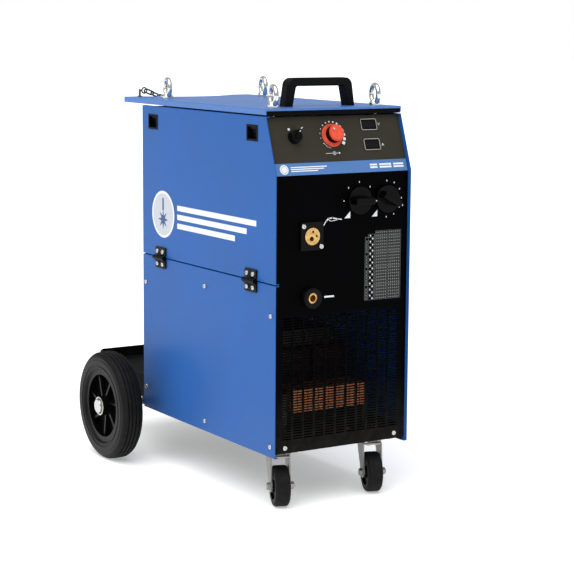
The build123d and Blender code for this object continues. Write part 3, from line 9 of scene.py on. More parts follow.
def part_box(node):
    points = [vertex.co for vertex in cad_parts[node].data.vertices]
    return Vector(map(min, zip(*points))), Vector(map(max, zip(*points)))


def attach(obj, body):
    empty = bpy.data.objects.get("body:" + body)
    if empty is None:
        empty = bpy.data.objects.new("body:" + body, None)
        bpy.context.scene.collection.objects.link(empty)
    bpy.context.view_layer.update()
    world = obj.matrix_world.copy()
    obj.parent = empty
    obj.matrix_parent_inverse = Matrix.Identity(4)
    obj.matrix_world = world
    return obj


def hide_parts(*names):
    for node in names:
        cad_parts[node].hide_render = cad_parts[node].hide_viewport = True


bl_info = {
    "name": "Wheeled MIG Welder",
    "version": (1, 0, 0),
    "blender": (4, 5, 0),
    "location": "View3D > Sidebar > Welder",
    "description": "Finishes and fine pieces of a wheeled MIG welding power source",
    "category": "Object",
}

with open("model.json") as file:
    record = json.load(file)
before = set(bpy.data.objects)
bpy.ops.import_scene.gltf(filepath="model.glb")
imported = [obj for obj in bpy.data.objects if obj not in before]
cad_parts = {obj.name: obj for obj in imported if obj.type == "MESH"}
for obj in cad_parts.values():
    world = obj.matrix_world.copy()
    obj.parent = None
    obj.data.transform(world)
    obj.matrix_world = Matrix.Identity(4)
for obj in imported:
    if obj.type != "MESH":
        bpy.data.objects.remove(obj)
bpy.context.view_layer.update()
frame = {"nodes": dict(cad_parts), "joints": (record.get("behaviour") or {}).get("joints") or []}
joints = {joint["name"]: joint for joint in frame["joints"]}
INK = 0.00015        # how far print stands on a surface
X, Y, Z = Vector((1, 0, 0)), Vector((0, 1, 0)), Vector((0, 0, 1))


# ---- places, read from the frame ----
def middle(node):
    """Middle of a node's box."""
    low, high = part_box(node)
    return (low + high) / 2


def face_matrix(origin, right, up):
    """Matrix whose X and Y lie in a face and whose Z leaves it."""
    out = right.cross(up)
    matrix = Matrix((right, up, out)).transposed().to_4x4()
    matrix.translation = origin
    return matrix


def front_face(x, z):
    """A point of the front panel, as a face matrix."""
    low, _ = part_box("front_panel")
    return face_matrix(Vector((x, low.y, z)), X, Z)


def fascia_face(joint):
    """The control fascia at a knob's axis, as a face matrix."""
    out = Vector(joints[joint]["axis"])
    return face_matrix(Vector(joints[joint]["pos_m"]), X, out.cross(X))


def side_face(y, z):
    """A point of the door side, as a face matrix."""
    low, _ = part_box("left_lower_panel")
    return face_matrix(Vector((low.x, y, z)), -Y, Z)


def foremost(node, place):
    """Left, right, lower and upper limits of a node's outermost faces, and their height."""
    flat = place.inverted()
    corners = [flat @ vert.co for vert in frame["nodes"][node].data.vertices]
    level = max(corner.z for corner in corners)
    faces = [corner for corner in corners if corner.z > level - 0.0001]
    across, along = [c.x for c in faces], [c.y for c in faces]
    return min(across), max(across), min(along), max(along), level


# ---- sizes and colours ----
def light(red, green, blue):
    """Linear colour from display levels of 0 to 255."""
    levels = (red / 255, green / 255, blue / 255)
    return tuple(v / 12.92 if v <= 0.04045 else ((v + 0.055) / 1.055) ** 2.4 for v in levels)


def colour_property(label, words, value):
    """A colour that a user may change."""
    return bpy.props.FloatVectorProperty(
        name=label, description=words, subtype="COLOR", size=3, min=0.0, max=1.0, default=value
    )


def length_property(label, words, value):
    """A length that a user may change."""
    return bpy.props.FloatProperty(
        name=label, description=words, default=value, min=0.0, unit="LENGTH", subtype="DISTANCE"
    )


class WelderColours(bpy.types.PropertyGroup):
    """Colours of the cabinet, its controls and its wheels."""

    cabinet: colour_property("Cabinet", "Powder coat of the side panels and door", light(35, 91, 163))
    top: colour_property("Lid", "Powder coat of the lid and the front band", light(64, 112, 182))
    panel: colour_property("Panel", "Textured coat of the front and rear panels", light(2, 2, 3))
    fascia: colour_property("Fascia", "Coat of the control fascia", light(52, 49, 41))
    plastic: colour_property("Plastic", "Moulded black plastic", light(5, 5, 6))
    knob: colour_property("Knob", "Wire speed knob", light(220, 84, 62))
    brass: colour_property("Brass", "Turned brass of the sockets", (0.70, 0.46, 0.17))
    steel: colour_property("Steel", "Zinc-plated steel", (0.60, 0.60, 0.59))
    copper: colour_property("Copper", "Enamelled winding wire", (0.46, 0.17, 0.07))
    rubber: colour_property("Rubber", "Tyres and caster treads", light(11, 10, 10))
    ink: colour_property("Ink", "White printing", light(226, 228, 230))


class WelderSizes(bpy.types.PropertyGroup):
    """Sizes of the printing and of the wheels' fine pieces."""

    dial_radius: length_property("Dial radius", "Ring of growing marks round the wire speed knob", 0.0262)
    switch_radius: length_property("Switch radius", "Ring of marks round each step switch", 0.0353)
    mark_width: length_property("Mark width", "Width of a printed mark", 0.0017)
    table_width: length_property("Table width", "Printed setting table", 0.084)
    table_height: length_property("Table height", "Printed setting table", 0.135)
    emblem_radius: length_property("Emblem radius", "Round emblem on the door", 0.0490)
    meter_height: length_property("Meter height", "Outer height of a meter frame", 0.0228)
    groove_width: length_property("Groove width", "Grooves round the tyre tread", 0.0022)
    groove_depth: length_property("Groove depth", "Grooves round the tyre tread", 0.0030)


# ---- procedural finishes ----
class Finish:
    """One procedural material, built round its own shader."""

    def __init__(self, name, colour, roughness, metallic=0.0, specular=0.5):
        self.material = bpy.data.materials.new(name)
        self.material.use_nodes = True
        self.tree = self.material.node_tree
        self.shader = self.tree.nodes["Principled BSDF"]
        self.base = (*colour, 1.0)
        self.shader.inputs["Base Color"].default_value = self.base
        self.shader.inputs["Roughness"].default_value = roughness
        self.shader.inputs["Metallic"].default_value = metallic
        self.shader.inputs["Specular IOR Level"].default_value = specular
        self.material.diffuse_color = self.base

    def node(self, kind, feeds=None, **settings):
        """Add a node; feeds maps an input to a value or to another node's output."""
        node = self.tree.nodes.new(kind)
        for key, value in settings.items():
            setattr(node, key, value)
        for key, value in (feeds or {}).items():
            if isinstance(value, bpy.types.NodeSocket):
                self.tree.links.new(value, node.inputs[key])
            else:
                node.inputs[key].default_value = value
        return node

    def at(self, centre=(0, 0, 0), turn=(0, 0, 0), stretch=(1, 1, 1)):
        """Object coordinates measured from a centre, turned and stretched."""
        source = self.node("ShaderNodeTexCoord").outputs["Object"]
        feeds = {"Vector": source, "Location": centre, "Rotation": turn, "Scale": stretch}
        return self.node("ShaderNodeMapping", feeds, vector_type="TEXTURE").outputs["Vector"]

    def noise(self, scale, where=None, detail=3.0, roughness=0.5):
        """Cloudy value from 0 to 1; scale is per metre."""
        feeds = {"Vector": where or self.at(), "Scale": scale, "Detail": detail, "Roughness": roughness}
        return self.node("ShaderNodeTexNoise", feeds).outputs["Fac"]

    def cells(self, scale, where=None):
        """Distance to the nearest of many scattered points."""
        feeds = {"Vector": where or self.at(), "Scale": scale}
        return self.node("ShaderNodeTexVoronoi", feeds).outputs["Distance"]

    def bands(self, scale, axis, where=None, distortion=0.0):
        """Parallel waves along one axis."""
        feeds = {"Vector": where or self.at(), "Scale": scale, "Distortion": distortion}
        wave = self.node("ShaderNodeTexWave", feeds, wave_type="BANDS", bands_direction=axis)
        return wave.outputs["Fac"]

    def rings(self, scale, axis, where=None):
        """Waves round one axis, like turning marks."""
        feeds = {"Vector": where or self.at(), "Scale": scale}
        wave = self.node("ShaderNodeTexWave", feeds, wave_type="RINGS", rings_direction=axis)
        return wave.outputs["Fac"]

    def spread(self, value, low, high, first, last):
        """Map a value from one span to another, held at its ends."""
        feeds = {"Value": value, "From Min": low, "From Max": high, "To Min": first, "To Max": last}
        return self.node("ShaderNodeMapRange", feeds).outputs["Result"]

    def combine(self, operation, first, second=0.0):
        """Arithmetic on two values."""
        return self.node("ShaderNodeMath", {0: first, 1: second}, operation=operation).outputs[0]

    def part(self, vector, axis):
        """One coordinate of a vector."""
        return self.node("ShaderNodeSeparateXYZ", {0: vector}).outputs[axis]

    def reach(self, vector):
        """Length of a vector."""
        return self.node("ShaderNodeVectorMath", {0: vector}, operation="LENGTH").outputs["Value"]

    def mix(self, factor, first, second):
        """Blend two colours."""
        feeds = {0: factor, 6: first, 7: second}
        return self.node("ShaderNodeMix", feeds, data_type="RGBA").outputs[2]

    def shade(self, factor, darker, brighter):
        """Vary the base colour between two brightness shares."""
        low = tuple(min(v * darker, 1) for v in self.base[:3])
        high = tuple(min(v * brighter, 1) for v in self.base[:3])
        self.colour(self.mix(factor, (*low, 1), (*high, 1)))

    def colour(self, output):
        """Feed the shader's colour."""
        self.tree.links.new(output, self.shader.inputs["Base Color"])

    def roughness(self, output):
        """Feed the shader's roughness."""
        self.tree.links.new(output, self.shader.inputs["Roughness"])

    def relief(self, height, distance, strength=1.0):
        """Add a bump on top of those already there."""
        bump = self.node("ShaderNodeBump", {"Height": height, "Distance": distance, "Strength": strength})
        normal = self.shader.inputs["Normal"]
        if normal.links:
            self.tree.links.new(normal.links[0].from_socket, bump.inputs["Normal"])
        self.tree.links.new(bump.outputs["Normal"], normal)


def powder_coat(name, colour, roughness=0.36, peel=0.00010, specular=0.5):
    """Powder coat: orange peel, faint clouding, hairline rubs and dust towards the floor."""
    finish = Finish(name, colour, roughness, specular=specular)
    cloud = finish.noise(7.0, detail=5.0)
    rub = finish.noise(260.0, finish.at(turn=(0.3, 0.1, 0.5), stretch=(1, 14, 14)), detail=2.0)
    hair = finish.spread(rub, 0.70, 0.78, 0.0, 0.35)
    tone = finish.spread(cloud, 0.3, 0.7, 0.0, 1.0)
    dark = (*(v * 0.93 for v in colour), 1.0)
    pale = (*(min(v * 1.06, 1) for v in colour), 1.0)
    worn = (*(v * 0.9 + 0.02 for v in colour), 1.0)
    base = finish.mix(tone, dark, pale)
    base = finish.mix(finish.combine("MULTIPLY", hair, 0.25), base, worn)
    dust = finish.spread(finish.part(finish.at(), "Z"), 0.105, 0.24, 0.10, 0.0)
    dust = finish.combine("MULTIPLY", dust, finish.noise(60.0, detail=6.0))
    finish.colour(finish.mix(dust, base, (*light(120, 116, 108), 1.0)))
    gloss = finish.spread(cloud, 0.2, 0.8, roughness - 0.05, roughness + 0.07)
    finish.roughness(finish.combine("ADD", gloss, hair))
    finish.relief(finish.noise(420.0, detail=2.0), peel)
    finish.relief(finish.noise(2600.0, detail=1.0), peel * 0.25)
    return finish


def grained_plastic(name, colour, roughness=0.48, grain=0.00007, specular=0.10):
    """Moulded plastic with spark-eroded grain, flow clouds and fine scuffs."""
    finish = Finish(name, colour, roughness, specular=specular)
    cloud = finish.noise(35.0, detail=4.0)
    finish.shade(finish.spread(cloud, 0.3, 0.7, 0.0, 1.0), 0.8, 1.3)
    scuff = finish.spread(finish.noise(500.0, finish.at(stretch=(1, 9, 4))), 0.66, 0.8, 0.0, 0.2)
    low = finish.spread(cloud, 0.2, 0.8, roughness - 0.07, roughness + 0.08)
    finish.roughness(finish.combine("ADD", low, scuff))
    finish.relief(finish.cells(1500.0), grain)
    finish.relief(finish.noise(180.0), grain * 0.6)
    return finish


def plated_steel(name, colour, roughness=0.30, brush=(1, 1, 30)):
    """Zinc plate: fine drawing lines, spangle and a slight warm passivation tint."""
    finish = Finish(name, colour, roughness, metallic=1.0)
    tint = finish.noise(28.0, detail=4.0)
    warm = (colour[0] * 1.02, colour[1] * 0.97, colour[2] * 0.86, 1.0)
    cool = (colour[0] * 0.86, colour[1] * 0.90, colour[2] * 0.94, 1.0)
    base = finish.mix(finish.spread(tint, 0.35, 0.65, 0.0, 1.0), cool, warm)
    pits = finish.spread(finish.cells(700.0), 0.0, 0.16, 0.35, 0.0)
    finish.colour(finish.mix(pits, base, (*(v * 0.45 for v in colour), 1.0)))
    lines = finish.noise(900.0, finish.at(stretch=brush), detail=2.0)
    finish.roughness(finish.spread(lines, 0.25, 0.75, roughness - 0.08, roughness + 0.12))
    finish.relief(lines, 0.00004)
    finish.relief(finish.cells(420.0), 0.00003)
    return finish


def turned_brass(name, colour, centre):
    """Turned brass: rings round the socket's axis and a dull tarnish."""
    finish = Finish(name, colour, 0.28, metallic=1.0)
    where = finish.at(centre)
    tarnish = finish.noise(160.0, detail=5.0)
    dull = (colour[0] * 0.62, colour[1] * 0.52, colour[2] * 0.42, 1.0)
    finish.colour(finish.mix(finish.spread(tarnish, 0.42, 0.68, 0.0, 0.7), (*colour, 1.0), dull))
    finish.roughness(finish.spread(tarnish, 0.3, 0.7, 0.22, 0.42))
    finish.relief(finish.rings(420.0, "Y", where), 0.00004)
    return finish


def tyre_rubber(name, colour, centre, tread_from, tread_to):
    """Rubber with moulding grain; the tread is greyer and rougher than the sidewall."""
    finish = Finish(name, colour, 0.55, specular=0.15)
    tread = finish.spread(finish.reach(finish.at(centre)), tread_from, tread_to, 0.0, 1.0)
    dirt = finish.noise(90.0, detail=6.0, roughness=0.65)
    dusty = finish.combine("MULTIPLY", tread, finish.spread(dirt, 0.42, 0.75, 0.1, 0.9))
    dark = (*(v * 0.75 for v in colour), 1.0)
    pale = (*(v * 1.4 + 0.005 for v in colour), 1.0)
    finish.colour(finish.mix(dusty, dark, pale))
    finish.roughness(finish.spread(tread, 0.0, 1.0, 0.42, 0.66))
    finish.relief(finish.noise(700.0, detail=4.0), 0.00010)
    return finish


def ink_finish(name, colour):
    """Screen-printed ink: slightly raised, thin in places."""
    finish = Finish(name, colour, 0.5)
    thin = finish.noise(650.0, detail=3.0)
    finish.shade(finish.spread(thin, 0.3, 0.7, 0.0, 1.0), 0.88, 1.05)
    finish.roughness(finish.spread(thin, 0.2, 0.8, 0.42, 0.6))
    finish.relief(thin, 0.00003)
    return finish


def two_tone(finish, mask, first, second):
    """Choose between two colours with a mask of 0 or 1, keeping a little clouding."""
    cloud = finish.spread(finish.noise(120.0, detail=4.0), 0.3, 0.7, 0.82, 1.12)
    chosen = finish.mix(mask, (*first, 1.0), (*second, 1.0))
    scaled = finish.node("ShaderNodeVectorMath", {0: chosen, 3: cloud}, operation="SCALE")
    finish.colour(scaled.outputs["Vector"])


def paint(finish, *names):
    """Give CAD nodes one finish."""
    for name in names:
        materials = frame["nodes"][name].data.materials
        materials.clear()
        materials.append(finish.material)


# ---- mesh helpers ----
def add_disc(shape, x, y, radius, sides=40):
    """Filled circle in the face's plane."""
    at = Matrix.Translation((x, y, 0))
    bmesh.ops.create_circle(shape, cap_ends=True, radius=radius, segments=sides, matrix=at)


def add_bar(shape, x, y, width, height, turn=0.0):
    """Filled rectangle about its middle, turned in the face's plane."""
    size = Matrix.Diagonal((width, height, 1, 1))
    at = Matrix.Translation((x, y, 0)) @ Matrix.Rotation(turn, 4, "Z") @ size
    bmesh.ops.create_grid(shape, x_segments=1, y_segments=1, size=0.5, matrix=at)


def add_line(shape, start, end, width):
    """Straight stroke between two points of the face's plane."""
    run = Vector(end) - Vector(start)
    centre = (Vector(end) + Vector(start)) / 2
    add_bar(shape, centre.x, centre.y, run.length + width, width, math.atan2(run.y, run.x))


def add_outline(shape, points):
    """Filled polygon through points of the face's plane."""
    corners = [shape.verts.new((x, y, 0)) for x, y in points]
    bmesh.ops.contextual_create(shape, geom=corners)


def add_ring(shape, x, y, outer, inner, sides=64):
    """Flat ring in the face's plane."""
    at = Matrix.Translation((x, y, 0))
    rims = []
    for radius in (outer, inner):
        made = bmesh.ops.create_circle(shape, radius=radius, segments=sides, matrix=at)
        rims += list({edge for vert in made["verts"] for edge in vert.link_edges})
    bmesh.ops.bridge_loops(shape, edges=rims)


def add_frame(shape, x, y, width, height, corner, line):
    """Rounded rectangular line of even width."""
    loops = []
    for inset in (0.0, line):
        radius = corner - inset
        loop = []
        for index, (across, along) in enumerate(((1, 1), (-1, 1), (-1, -1), (1, -1))):
            middle_x = x + across * (width / 2 - corner)
            middle_y = y + along * (height / 2 - corner)
            for step in range(7):
                reach_x, reach_y = polar(radius, 90 * index + 15 * step)
                loop.append(shape.verts.new((middle_x + reach_x, middle_y + reach_y, 0)))
        loops.append(loop)
    outer, inner = loops
    for index in range(len(outer)):
        after = (index + 1) % len(outer)
        shape.faces.new((outer[index], outer[after], inner[after], inner[index]))


def raise_faces(shape, height):
    """Turn flat outlines into closed plates of one height."""
    made = bmesh.ops.extrude_face_region(shape, geom=shape.faces[:] + shape.edges[:], use_keep_orig=True)
    tops = [item for item in made["geom"] if isinstance(item, bmesh.types.BMVert)]
    bmesh.ops.translate(shape, verts=tops, vec=(0, 0, height))


def piece_from(name, shape, body, finish, smooth=0.0):
    """Finished piece from a bmesh that is already in place."""
    bmesh.ops.recalc_face_normals(shape, faces=shape.faces[:])
    mesh = bpy.data.meshes.new(name)
    shape.to_mesh(mesh)
    shape.free()
    mesh.materials.append(finish.material)
    if smooth:
        mesh.shade_smooth()
        mesh.set_sharp_from_angle(angle=math.radians(smooth))
    piece = bpy.data.objects.new(name, mesh)
    bpy.context.scene.collection.objects.link(piece)
    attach(piece, body)
    return piece


def print_piece(name, shape, place, body, finish, height=INK, lift=0.0):
    """Printed marks drawn in a face's plane, laid on that face."""
    raise_faces(shape, height)
    matrix = place @ Matrix.Translation((0, 0, lift))
    bmesh.ops.transform(shape, matrix=matrix, verts=shape.verts[:])
    return piece_from(name, shape, body, finish)


def add_turned(shape, profile, place, steps=96):
    """Closed profile of (along, radius) pairs spun round the matrix's X axis."""
    corners = [shape.verts.new((along, radius, 0)) for along, radius in profile]
    edges = [shape.edges.new((a, b)) for a, b in zip(corners, corners[1:] + corners[:1])]
    bmesh.ops.spin(
        shape, geom=corners + edges, cent=(0, 0, 0), axis=(1, 0, 0),
        angle=math.tau, steps=steps, use_merge=True,
    )
    bmesh.ops.remove_doubles(shape, verts=shape.verts[:], dist=1e-6)
    bmesh.ops.transform(shape, matrix=place, verts=shape.verts[:])


def polar(radius, degrees):
    """Point on a circle of the face's plane."""
    turn = math.radians(degrees)
    return radius * math.cos(turn), radius * math.sin(turn)


def letter_shape(text, size, x, y):
    """Outline of a unit letter, middle at a point of the face's plane."""
    curve = bpy.data.curves.new("letter", "FONT")
    curve.body = text
    curve.size = size
    curve.align_x = "CENTER"
    curve.align_y = "CENTER"
    carrier = bpy.data.objects.new("letter", curve)
    mesh = bpy.data.meshes.new_from_object(carrier)
    shape = bmesh.new()
    shape.from_mesh(mesh)
    bpy.data.objects.remove(carrier)
    bpy.data.meshes.remove(mesh)
    bpy.data.curves.remove(curve)
    bmesh.ops.remove_doubles(shape, verts=shape.verts[:], dist=1e-7)
    bmesh.ops.translate(shape, verts=shape.verts[:], vec=(x, y, 0))
    return shape


def join_shapes(target, source):
    """Copy one bmesh into another and free it."""
    mesh = bpy.data.meshes.new("joined")
    source.to_mesh(mesh)
    source.free()
    target.from_mesh(mesh)
    bpy.data.meshes.remove(mesh)


# ---- operators ----
class PieceOperator:
    """What every operator of this file shares."""

    bl_options = {"REGISTER", "UNDO"}

    def execute(self, context):
        self.build(context.scene.welder_colours, context.scene.welder_sizes)
        return {"FINISHED"}


class WELDER_OT_sheet_metal(PieceOperator, bpy.types.Operator):
    """Coat the cabinet's panels, door, lid, base and inner sheets"""

    bl_idname = "welder.sheet_metal"
    bl_label = "Sheet metal finishes"

    def build(self, colours, sizes):
        blue = powder_coat("cabinet_powder_coat", colours.cabinet, 0.36, 0.00010, 0.14)
        paint(blue, "right_side_panel", "left_lower_panel", "side_door")
        paint(powder_coat("lid_powder_coat", colours.top), "lid")
        paint(powder_coat("band_coat", light(79, 118, 173), 0.40, 0.00006, 0.2), "fascia_band")
        black = powder_coat("panel_powder_coat", colours.panel, 0.50, 0.00012, 0.02)
        paint(black, "front_panel", "rear_panel", "base_plate", "cylinder_platform")
        fascia = powder_coat("fascia_coat", colours.fascia, 0.46, 0.00006, 0.12)
        paint(fascia, "control_fascia")
        galvanised = plated_steel("galvanised_sheet", (0.42, 0.43, 0.43), 0.42, (1, 1, 1))
        paint(galvanised, "equipment_shelf", "centre_divider")


class WELDER_OT_hardware(PieceOperator, bpy.types.Operator):
    """Plate the eyes, bolts, screws, forks, axle and chain"""

    bl_idname = "welder.hardware"
    bl_label = "Hardware finishes"

    def build(self, colours, sizes):
        bright = plated_steel("bright_zinc", colours.steel, 0.20)
        paint(bright, "panel_screws", "hex_bolts", "axle_caps")
        polished = plated_steel("polished_zinc", tuple(min(v * 1.3, 0.92) for v in colours.steel), 0.14)
        paint(polished, "lifting_eyebolts")
        chain = plated_steel("weathered_chain", tuple(v * 0.22 for v in colours.steel), 0.38)
        paint(chain, "retaining_chain")
        dull = plated_steel("dull_zinc", tuple(v * 0.55 for v in colours.steel), 0.40, (1, 30, 1))
        paint(dull, "caster_plates", "caster_fork_left", "caster_fork_right")
        shaft = plated_steel("drawn_shaft", tuple(v * 0.5 for v in colours.steel), 0.30, (30, 1, 1))
        paint(shaft, "rear_axle")


class WELDER_OT_plastics(PieceOperator, bpy.types.Operator):
    """Mould the handle, hinges, latches, knobs, sockets and meter frames"""

    bl_idname = "welder.plastics"
    bl_label = "Plastic finishes"

    def build(self, colours, sizes):
        black = grained_plastic("black_moulding", colours.plastic)
        paint(
            black, "carry_handle", "latch_housings", "latch_slide_front", "latch_slide_rear",
            "mode_knob", "cable_gland", "torch_socket_flange", "earth_socket_body",
        )
        knobs = grained_plastic("switch_knob_moulding", light(3, 3, 4), 0.30, 0.00003, 0.08)
        paint(knobs, "coarse_switch_knob", "fine_switch_knob")
        self.hinges(colours)
        self.speed_knob(colours)
        frames = grained_plastic("meter_frame_moulding", light(30, 29, 27), 0.45, 0.00004)
        paint(frames, "meter_frames")
        window = Finish("smoked_window", light(4, 4, 5), 0.10, specular=0.2)
        haze = window.noise(300.0, detail=3.0)
        window.roughness(window.spread(haze, 0.3, 0.7, 0.07, 0.16))
        window.shade(haze, 0.7, 1.2)
        window.relief(window.noise(90.0), 0.00002)
        paint(window, "meter_windows")

    def hinges(self, colours):
        """Black leaves; the screws in the door's leaves stand outside them and are plated."""
        leaves = grained_plastic("hinge_moulding", colours.plastic, 0.42, 0.00005)
        paint(leaves, "hinge_lower_leaves")
        upper = grained_plastic("hinge_and_screws", colours.plastic, 0.42, 0.00005)
        low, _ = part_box("side_door")
        outside = upper.combine("LESS_THAN", upper.part(upper.at(), "X"), low.x - 0.0031)
        above = upper.combine("GREATER_THAN", upper.part(upper.at(), "Z"), low.z + 0.0070)
        screws = upper.combine("MULTIPLY", outside, above)
        two_tone(upper, screws, tuple(colours.plastic), tuple(colours.steel))
        upper.tree.links.new(screws, upper.shader.inputs["Metallic"])
        paint(upper, "hinge_door_leaves")

    def speed_knob(self, colours):
        """Red skirt and cap with a black fluted grip between them."""
        joint = joints["speed_knob_turn"]
        out = Vector(joint["axis"])
        finish = grained_plastic("speed_knob_moulding", colours.knob, 0.38, 0.00003)
        turn = face_matrix(Vector(), X, out.cross(X)).to_euler()
        height = finish.part(finish.at(joint["pos_m"], tuple(turn)), "Z")
        above = finish.combine("GREATER_THAN", height, 0.0046)
        below = finish.combine("LESS_THAN", height, 0.0170)
        grip = finish.combine("MULTIPLY", above, below)
        two_tone(finish, grip, tuple(colours.knob), light(22, 9, 9))
        paint(finish, "wire_speed_knob")


class WELDER_OT_sockets(PieceOperator, bpy.types.Operator):
    """Turn the brass of the torch and return sockets and the gas union"""

    bl_idname = "welder.sockets"
    bl_label = "Socket finishes"

    def build(self, colours, sizes):
        for node in ("torch_socket_core", "earth_socket_contact", "gas_inlet"):
            paint(turned_brass(node + "_brass", tuple(colours.brass), middle(node)), node)


class WELDER_OT_wheels(PieceOperator, bpy.types.Operator):
    """Rubber, rims and caster wheels"""

    bl_idname = "welder.wheels"
    bl_label = "Wheel finishes"

    def build(self, colours, sizes):
        for side in ("left", "right"):
            rim = grained_plastic("rim_moulding_" + side, light(9, 9, 10), 0.30, 0.00004)
            paint(rim, "rear_rim_" + side)
            node = "caster_wheel_" + side
            wheel = tyre_rubber("caster_rubber_" + side, colours.rubber, middle(node), 0.030, 0.038)
            paint(wheel, node)


class WELDER_OT_inside(PieceOperator, bpy.types.Operator):
    """Finish the transformer, choke, fan, boards and wire feed"""

    bl_idname = "welder.inside"
    bl_label = "Inner finishes"

    def build(self, colours, sizes):
        self.windings(colours)
        self.boards(colours)
        self.feed(colours)

    def windings(self, colours):
        """Enamelled copper on varnished iron."""
        low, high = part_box("output_choke")
        centre = (low + high) / 2
        iron = Finish("laminated_iron", light(52, 50, 48), 0.5, metallic=0.4)
        iron.shade(iron.noise(40.0, detail=5.0), 0.6, 1.5)
        iron.relief(iron.bands(300.0, "Y"), 0.0002)
        paint(iron, "transformer_core")
        coil = Finish("coil_wrap", tuple(v * 0.10 for v in colours.copper), 0.5)
        coil.shade(coil.bands(110.0, "Z", distortion=1.0), 0.55, 1.25)
        coil.relief(coil.bands(110.0, "Z"), 0.0006)
        paint(coil, "transformer_coils")
        choke = Finish("choke_winding", tuple(colours.copper), 0.36, metallic=0.55)
        reach = choke.combine("ABSOLUTE", choke.part(choke.at(centre), "X"))
        bar = choke.combine("GREATER_THAN", reach, 0.0852)
        two_tone(choke, bar, tuple(v * 1.35 for v in colours.copper), light(60, 58, 55))
        choke.relief(choke.noise(500.0, choke.at(stretch=(1, 1, 12))), 0.0001)
        paint(choke, "output_choke")

    def boards(self, colours):
        """Circuit board, rectifier, contactor and fan."""
        board = Finish("circuit_board", light(20, 74, 40), 0.35)
        tracks = board.combine("GREATER_THAN", board.bands(160.0, "X", distortion=6.0), 0.86)
        two_tone(board, tracks, light(16, 62, 34), light(64, 122, 60))
        board.relief(tracks, 0.0001)
        paint(board, "control_board")
        sink = plated_steel("extruded_sink", (0.56, 0.57, 0.58), 0.36, (1, 30, 1))
        paint(sink, "rectifier_stack")
        dark = grained_plastic("relay_moulding", light(34, 34, 36), 0.5)
        paint(dark, "contactor", "fan_frame", "fan_impeller")

    def feed(self, colours):
        """Wire drive, its rolls and the spool with its wound wire."""
        plate = grained_plastic("feeder_moulding", light(26, 26, 28), 0.5)
        paint(plate, "feeder_plate", "spool_hub")
        steel = plated_steel("feeder_steel", colours.steel, 0.28)
        paint(steel, "feeder_motor", "drive_roll", "pressure_arm", "pressure_roll")
        low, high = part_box("wire_spool")
        centre = (low + high) / 2
        spool = Finish("spool_and_wire", light(30, 30, 32), 0.4)
        where = spool.at(centre)
        across = spool.combine("ABSOLUTE", spool.part(where, "X"))
        inside = spool.combine("LESS_THAN", across, (high.x - low.x) / 2 - 0.0036)
        flat = spool.node("ShaderNodeVectorMath", {0: where, 1: (0, 1, 1)}, operation="MULTIPLY")
        outside = spool.combine("GREATER_THAN", spool.reach(flat.outputs[0]), 0.0955)
        wound = spool.combine("MULTIPLY", inside, outside)
        two_tone(spool, wound, light(34, 34, 37), light(196, 122, 78))
        spool.tree.links.new(wound, spool.shader.inputs["Metallic"])
        turns = spool.combine("MULTIPLY", spool.bands(150.0, "X"), wound)
        spool.relief(turns, 0.0004)
        paint(spool, "wire_spool")


class WELDER_OT_tyres(PieceOperator, bpy.types.Operator):
    """Build both rear tyres with a grooved tread, shoulders and sidewall steps"""

    bl_idname = "welder.tyres"
    bl_label = "Rear tyres"

    def build(self, colours, sizes):
        for side in ("left", "right"):
            node = "rear_tyre_" + side
            low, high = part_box(node)
            centre = (low + high) / 2
            rubber = tyre_rubber("tyre_rubber_" + side, colours.rubber, centre, 0.106, 0.113)
            radius = (high.z - low.z) / 2
            shape = bmesh.new()
            profile = self.profile(radius, (high.x - low.x) / 2, sizes)
            add_turned(shape, profile, Matrix.Translation(centre), 144)
            tyre = piece_from(node + "_rubber", shape, side + "_wheel", rubber, 32)
            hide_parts(node)

    def profile(self, radius, half, sizes):
        """Section of the tyre from one bead over the tread to the other."""
        shares = (
            (0.80, 0.6696), (0.97, 0.705), (0.985, 0.725), (0.93, 0.735), (0.94, 0.765), (0.995, 0.775),
            (0.998, 0.80), (1.0, 0.845), (0.99, 0.858), (0.955, 0.864), (0.965, 0.876), (0.97, 0.892),
            (0.91, 0.935), (0.80, 0.965), (0.66, 0.986), (0.58, 0.993),
        )
        wall = [(across * half, reach * radius) for across, reach in shares]
        tread = []
        width, depth = sizes.groove_width / 2, sizes.groove_depth
        for place in (0.50, 0.17, -0.17, -0.50):
            middle_x = place * half
            crown = radius * (1.0 if abs(place) < 0.3 else 0.9955)
            tread += [
                (middle_x + width + 0.0005, crown), (middle_x + width, crown - 0.0005),
                (middle_x + width * 0.8, crown - depth), (middle_x - width * 0.8, crown - depth),
                (middle_x - width, crown - 0.0005), (middle_x - width - 0.0005, crown),
            ]
        other = [(-x, r) for x, r in reversed(wall)]
        return wall + tread + other


class WELDER_OT_hub_rings(PieceOperator, bpy.types.Operator):
    """Build the bearing cover on each rear hub"""

    bl_idname = "welder.hub_rings"
    bl_label = "Hub bearing covers"

    def build(self, colours, sizes):
        tone = tuple(min(v * 1.15, 1) for v in colours.steel)
        steel = plated_steel("bearing_cover", tone, 0.22, (1, 1, 1))
        for side, sign in (("left", -1), ("right", 1)):
            low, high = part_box("rear_rim_" + side)
            centre = (low + high) / 2
            outer = (high.x if sign > 0 else low.x) - sign * 0.0002
            place = Matrix.Translation((outer, centre.y, centre.z))
            shape = bmesh.new()
            step = sign * 0.0010
            profile = [
                (-step * 2, 0.0195), (step * 0.2, 0.0195), (step * 0.6, 0.0188), (step * 0.6, 0.0172),
                (0, 0.0165), (0, 0.0156), (-step * 2, 0.0156),
            ]
            add_turned(shape, profile, place, 64)
            piece_from("bearing_cover_" + side, shape, side + "_wheel", steel, 30)


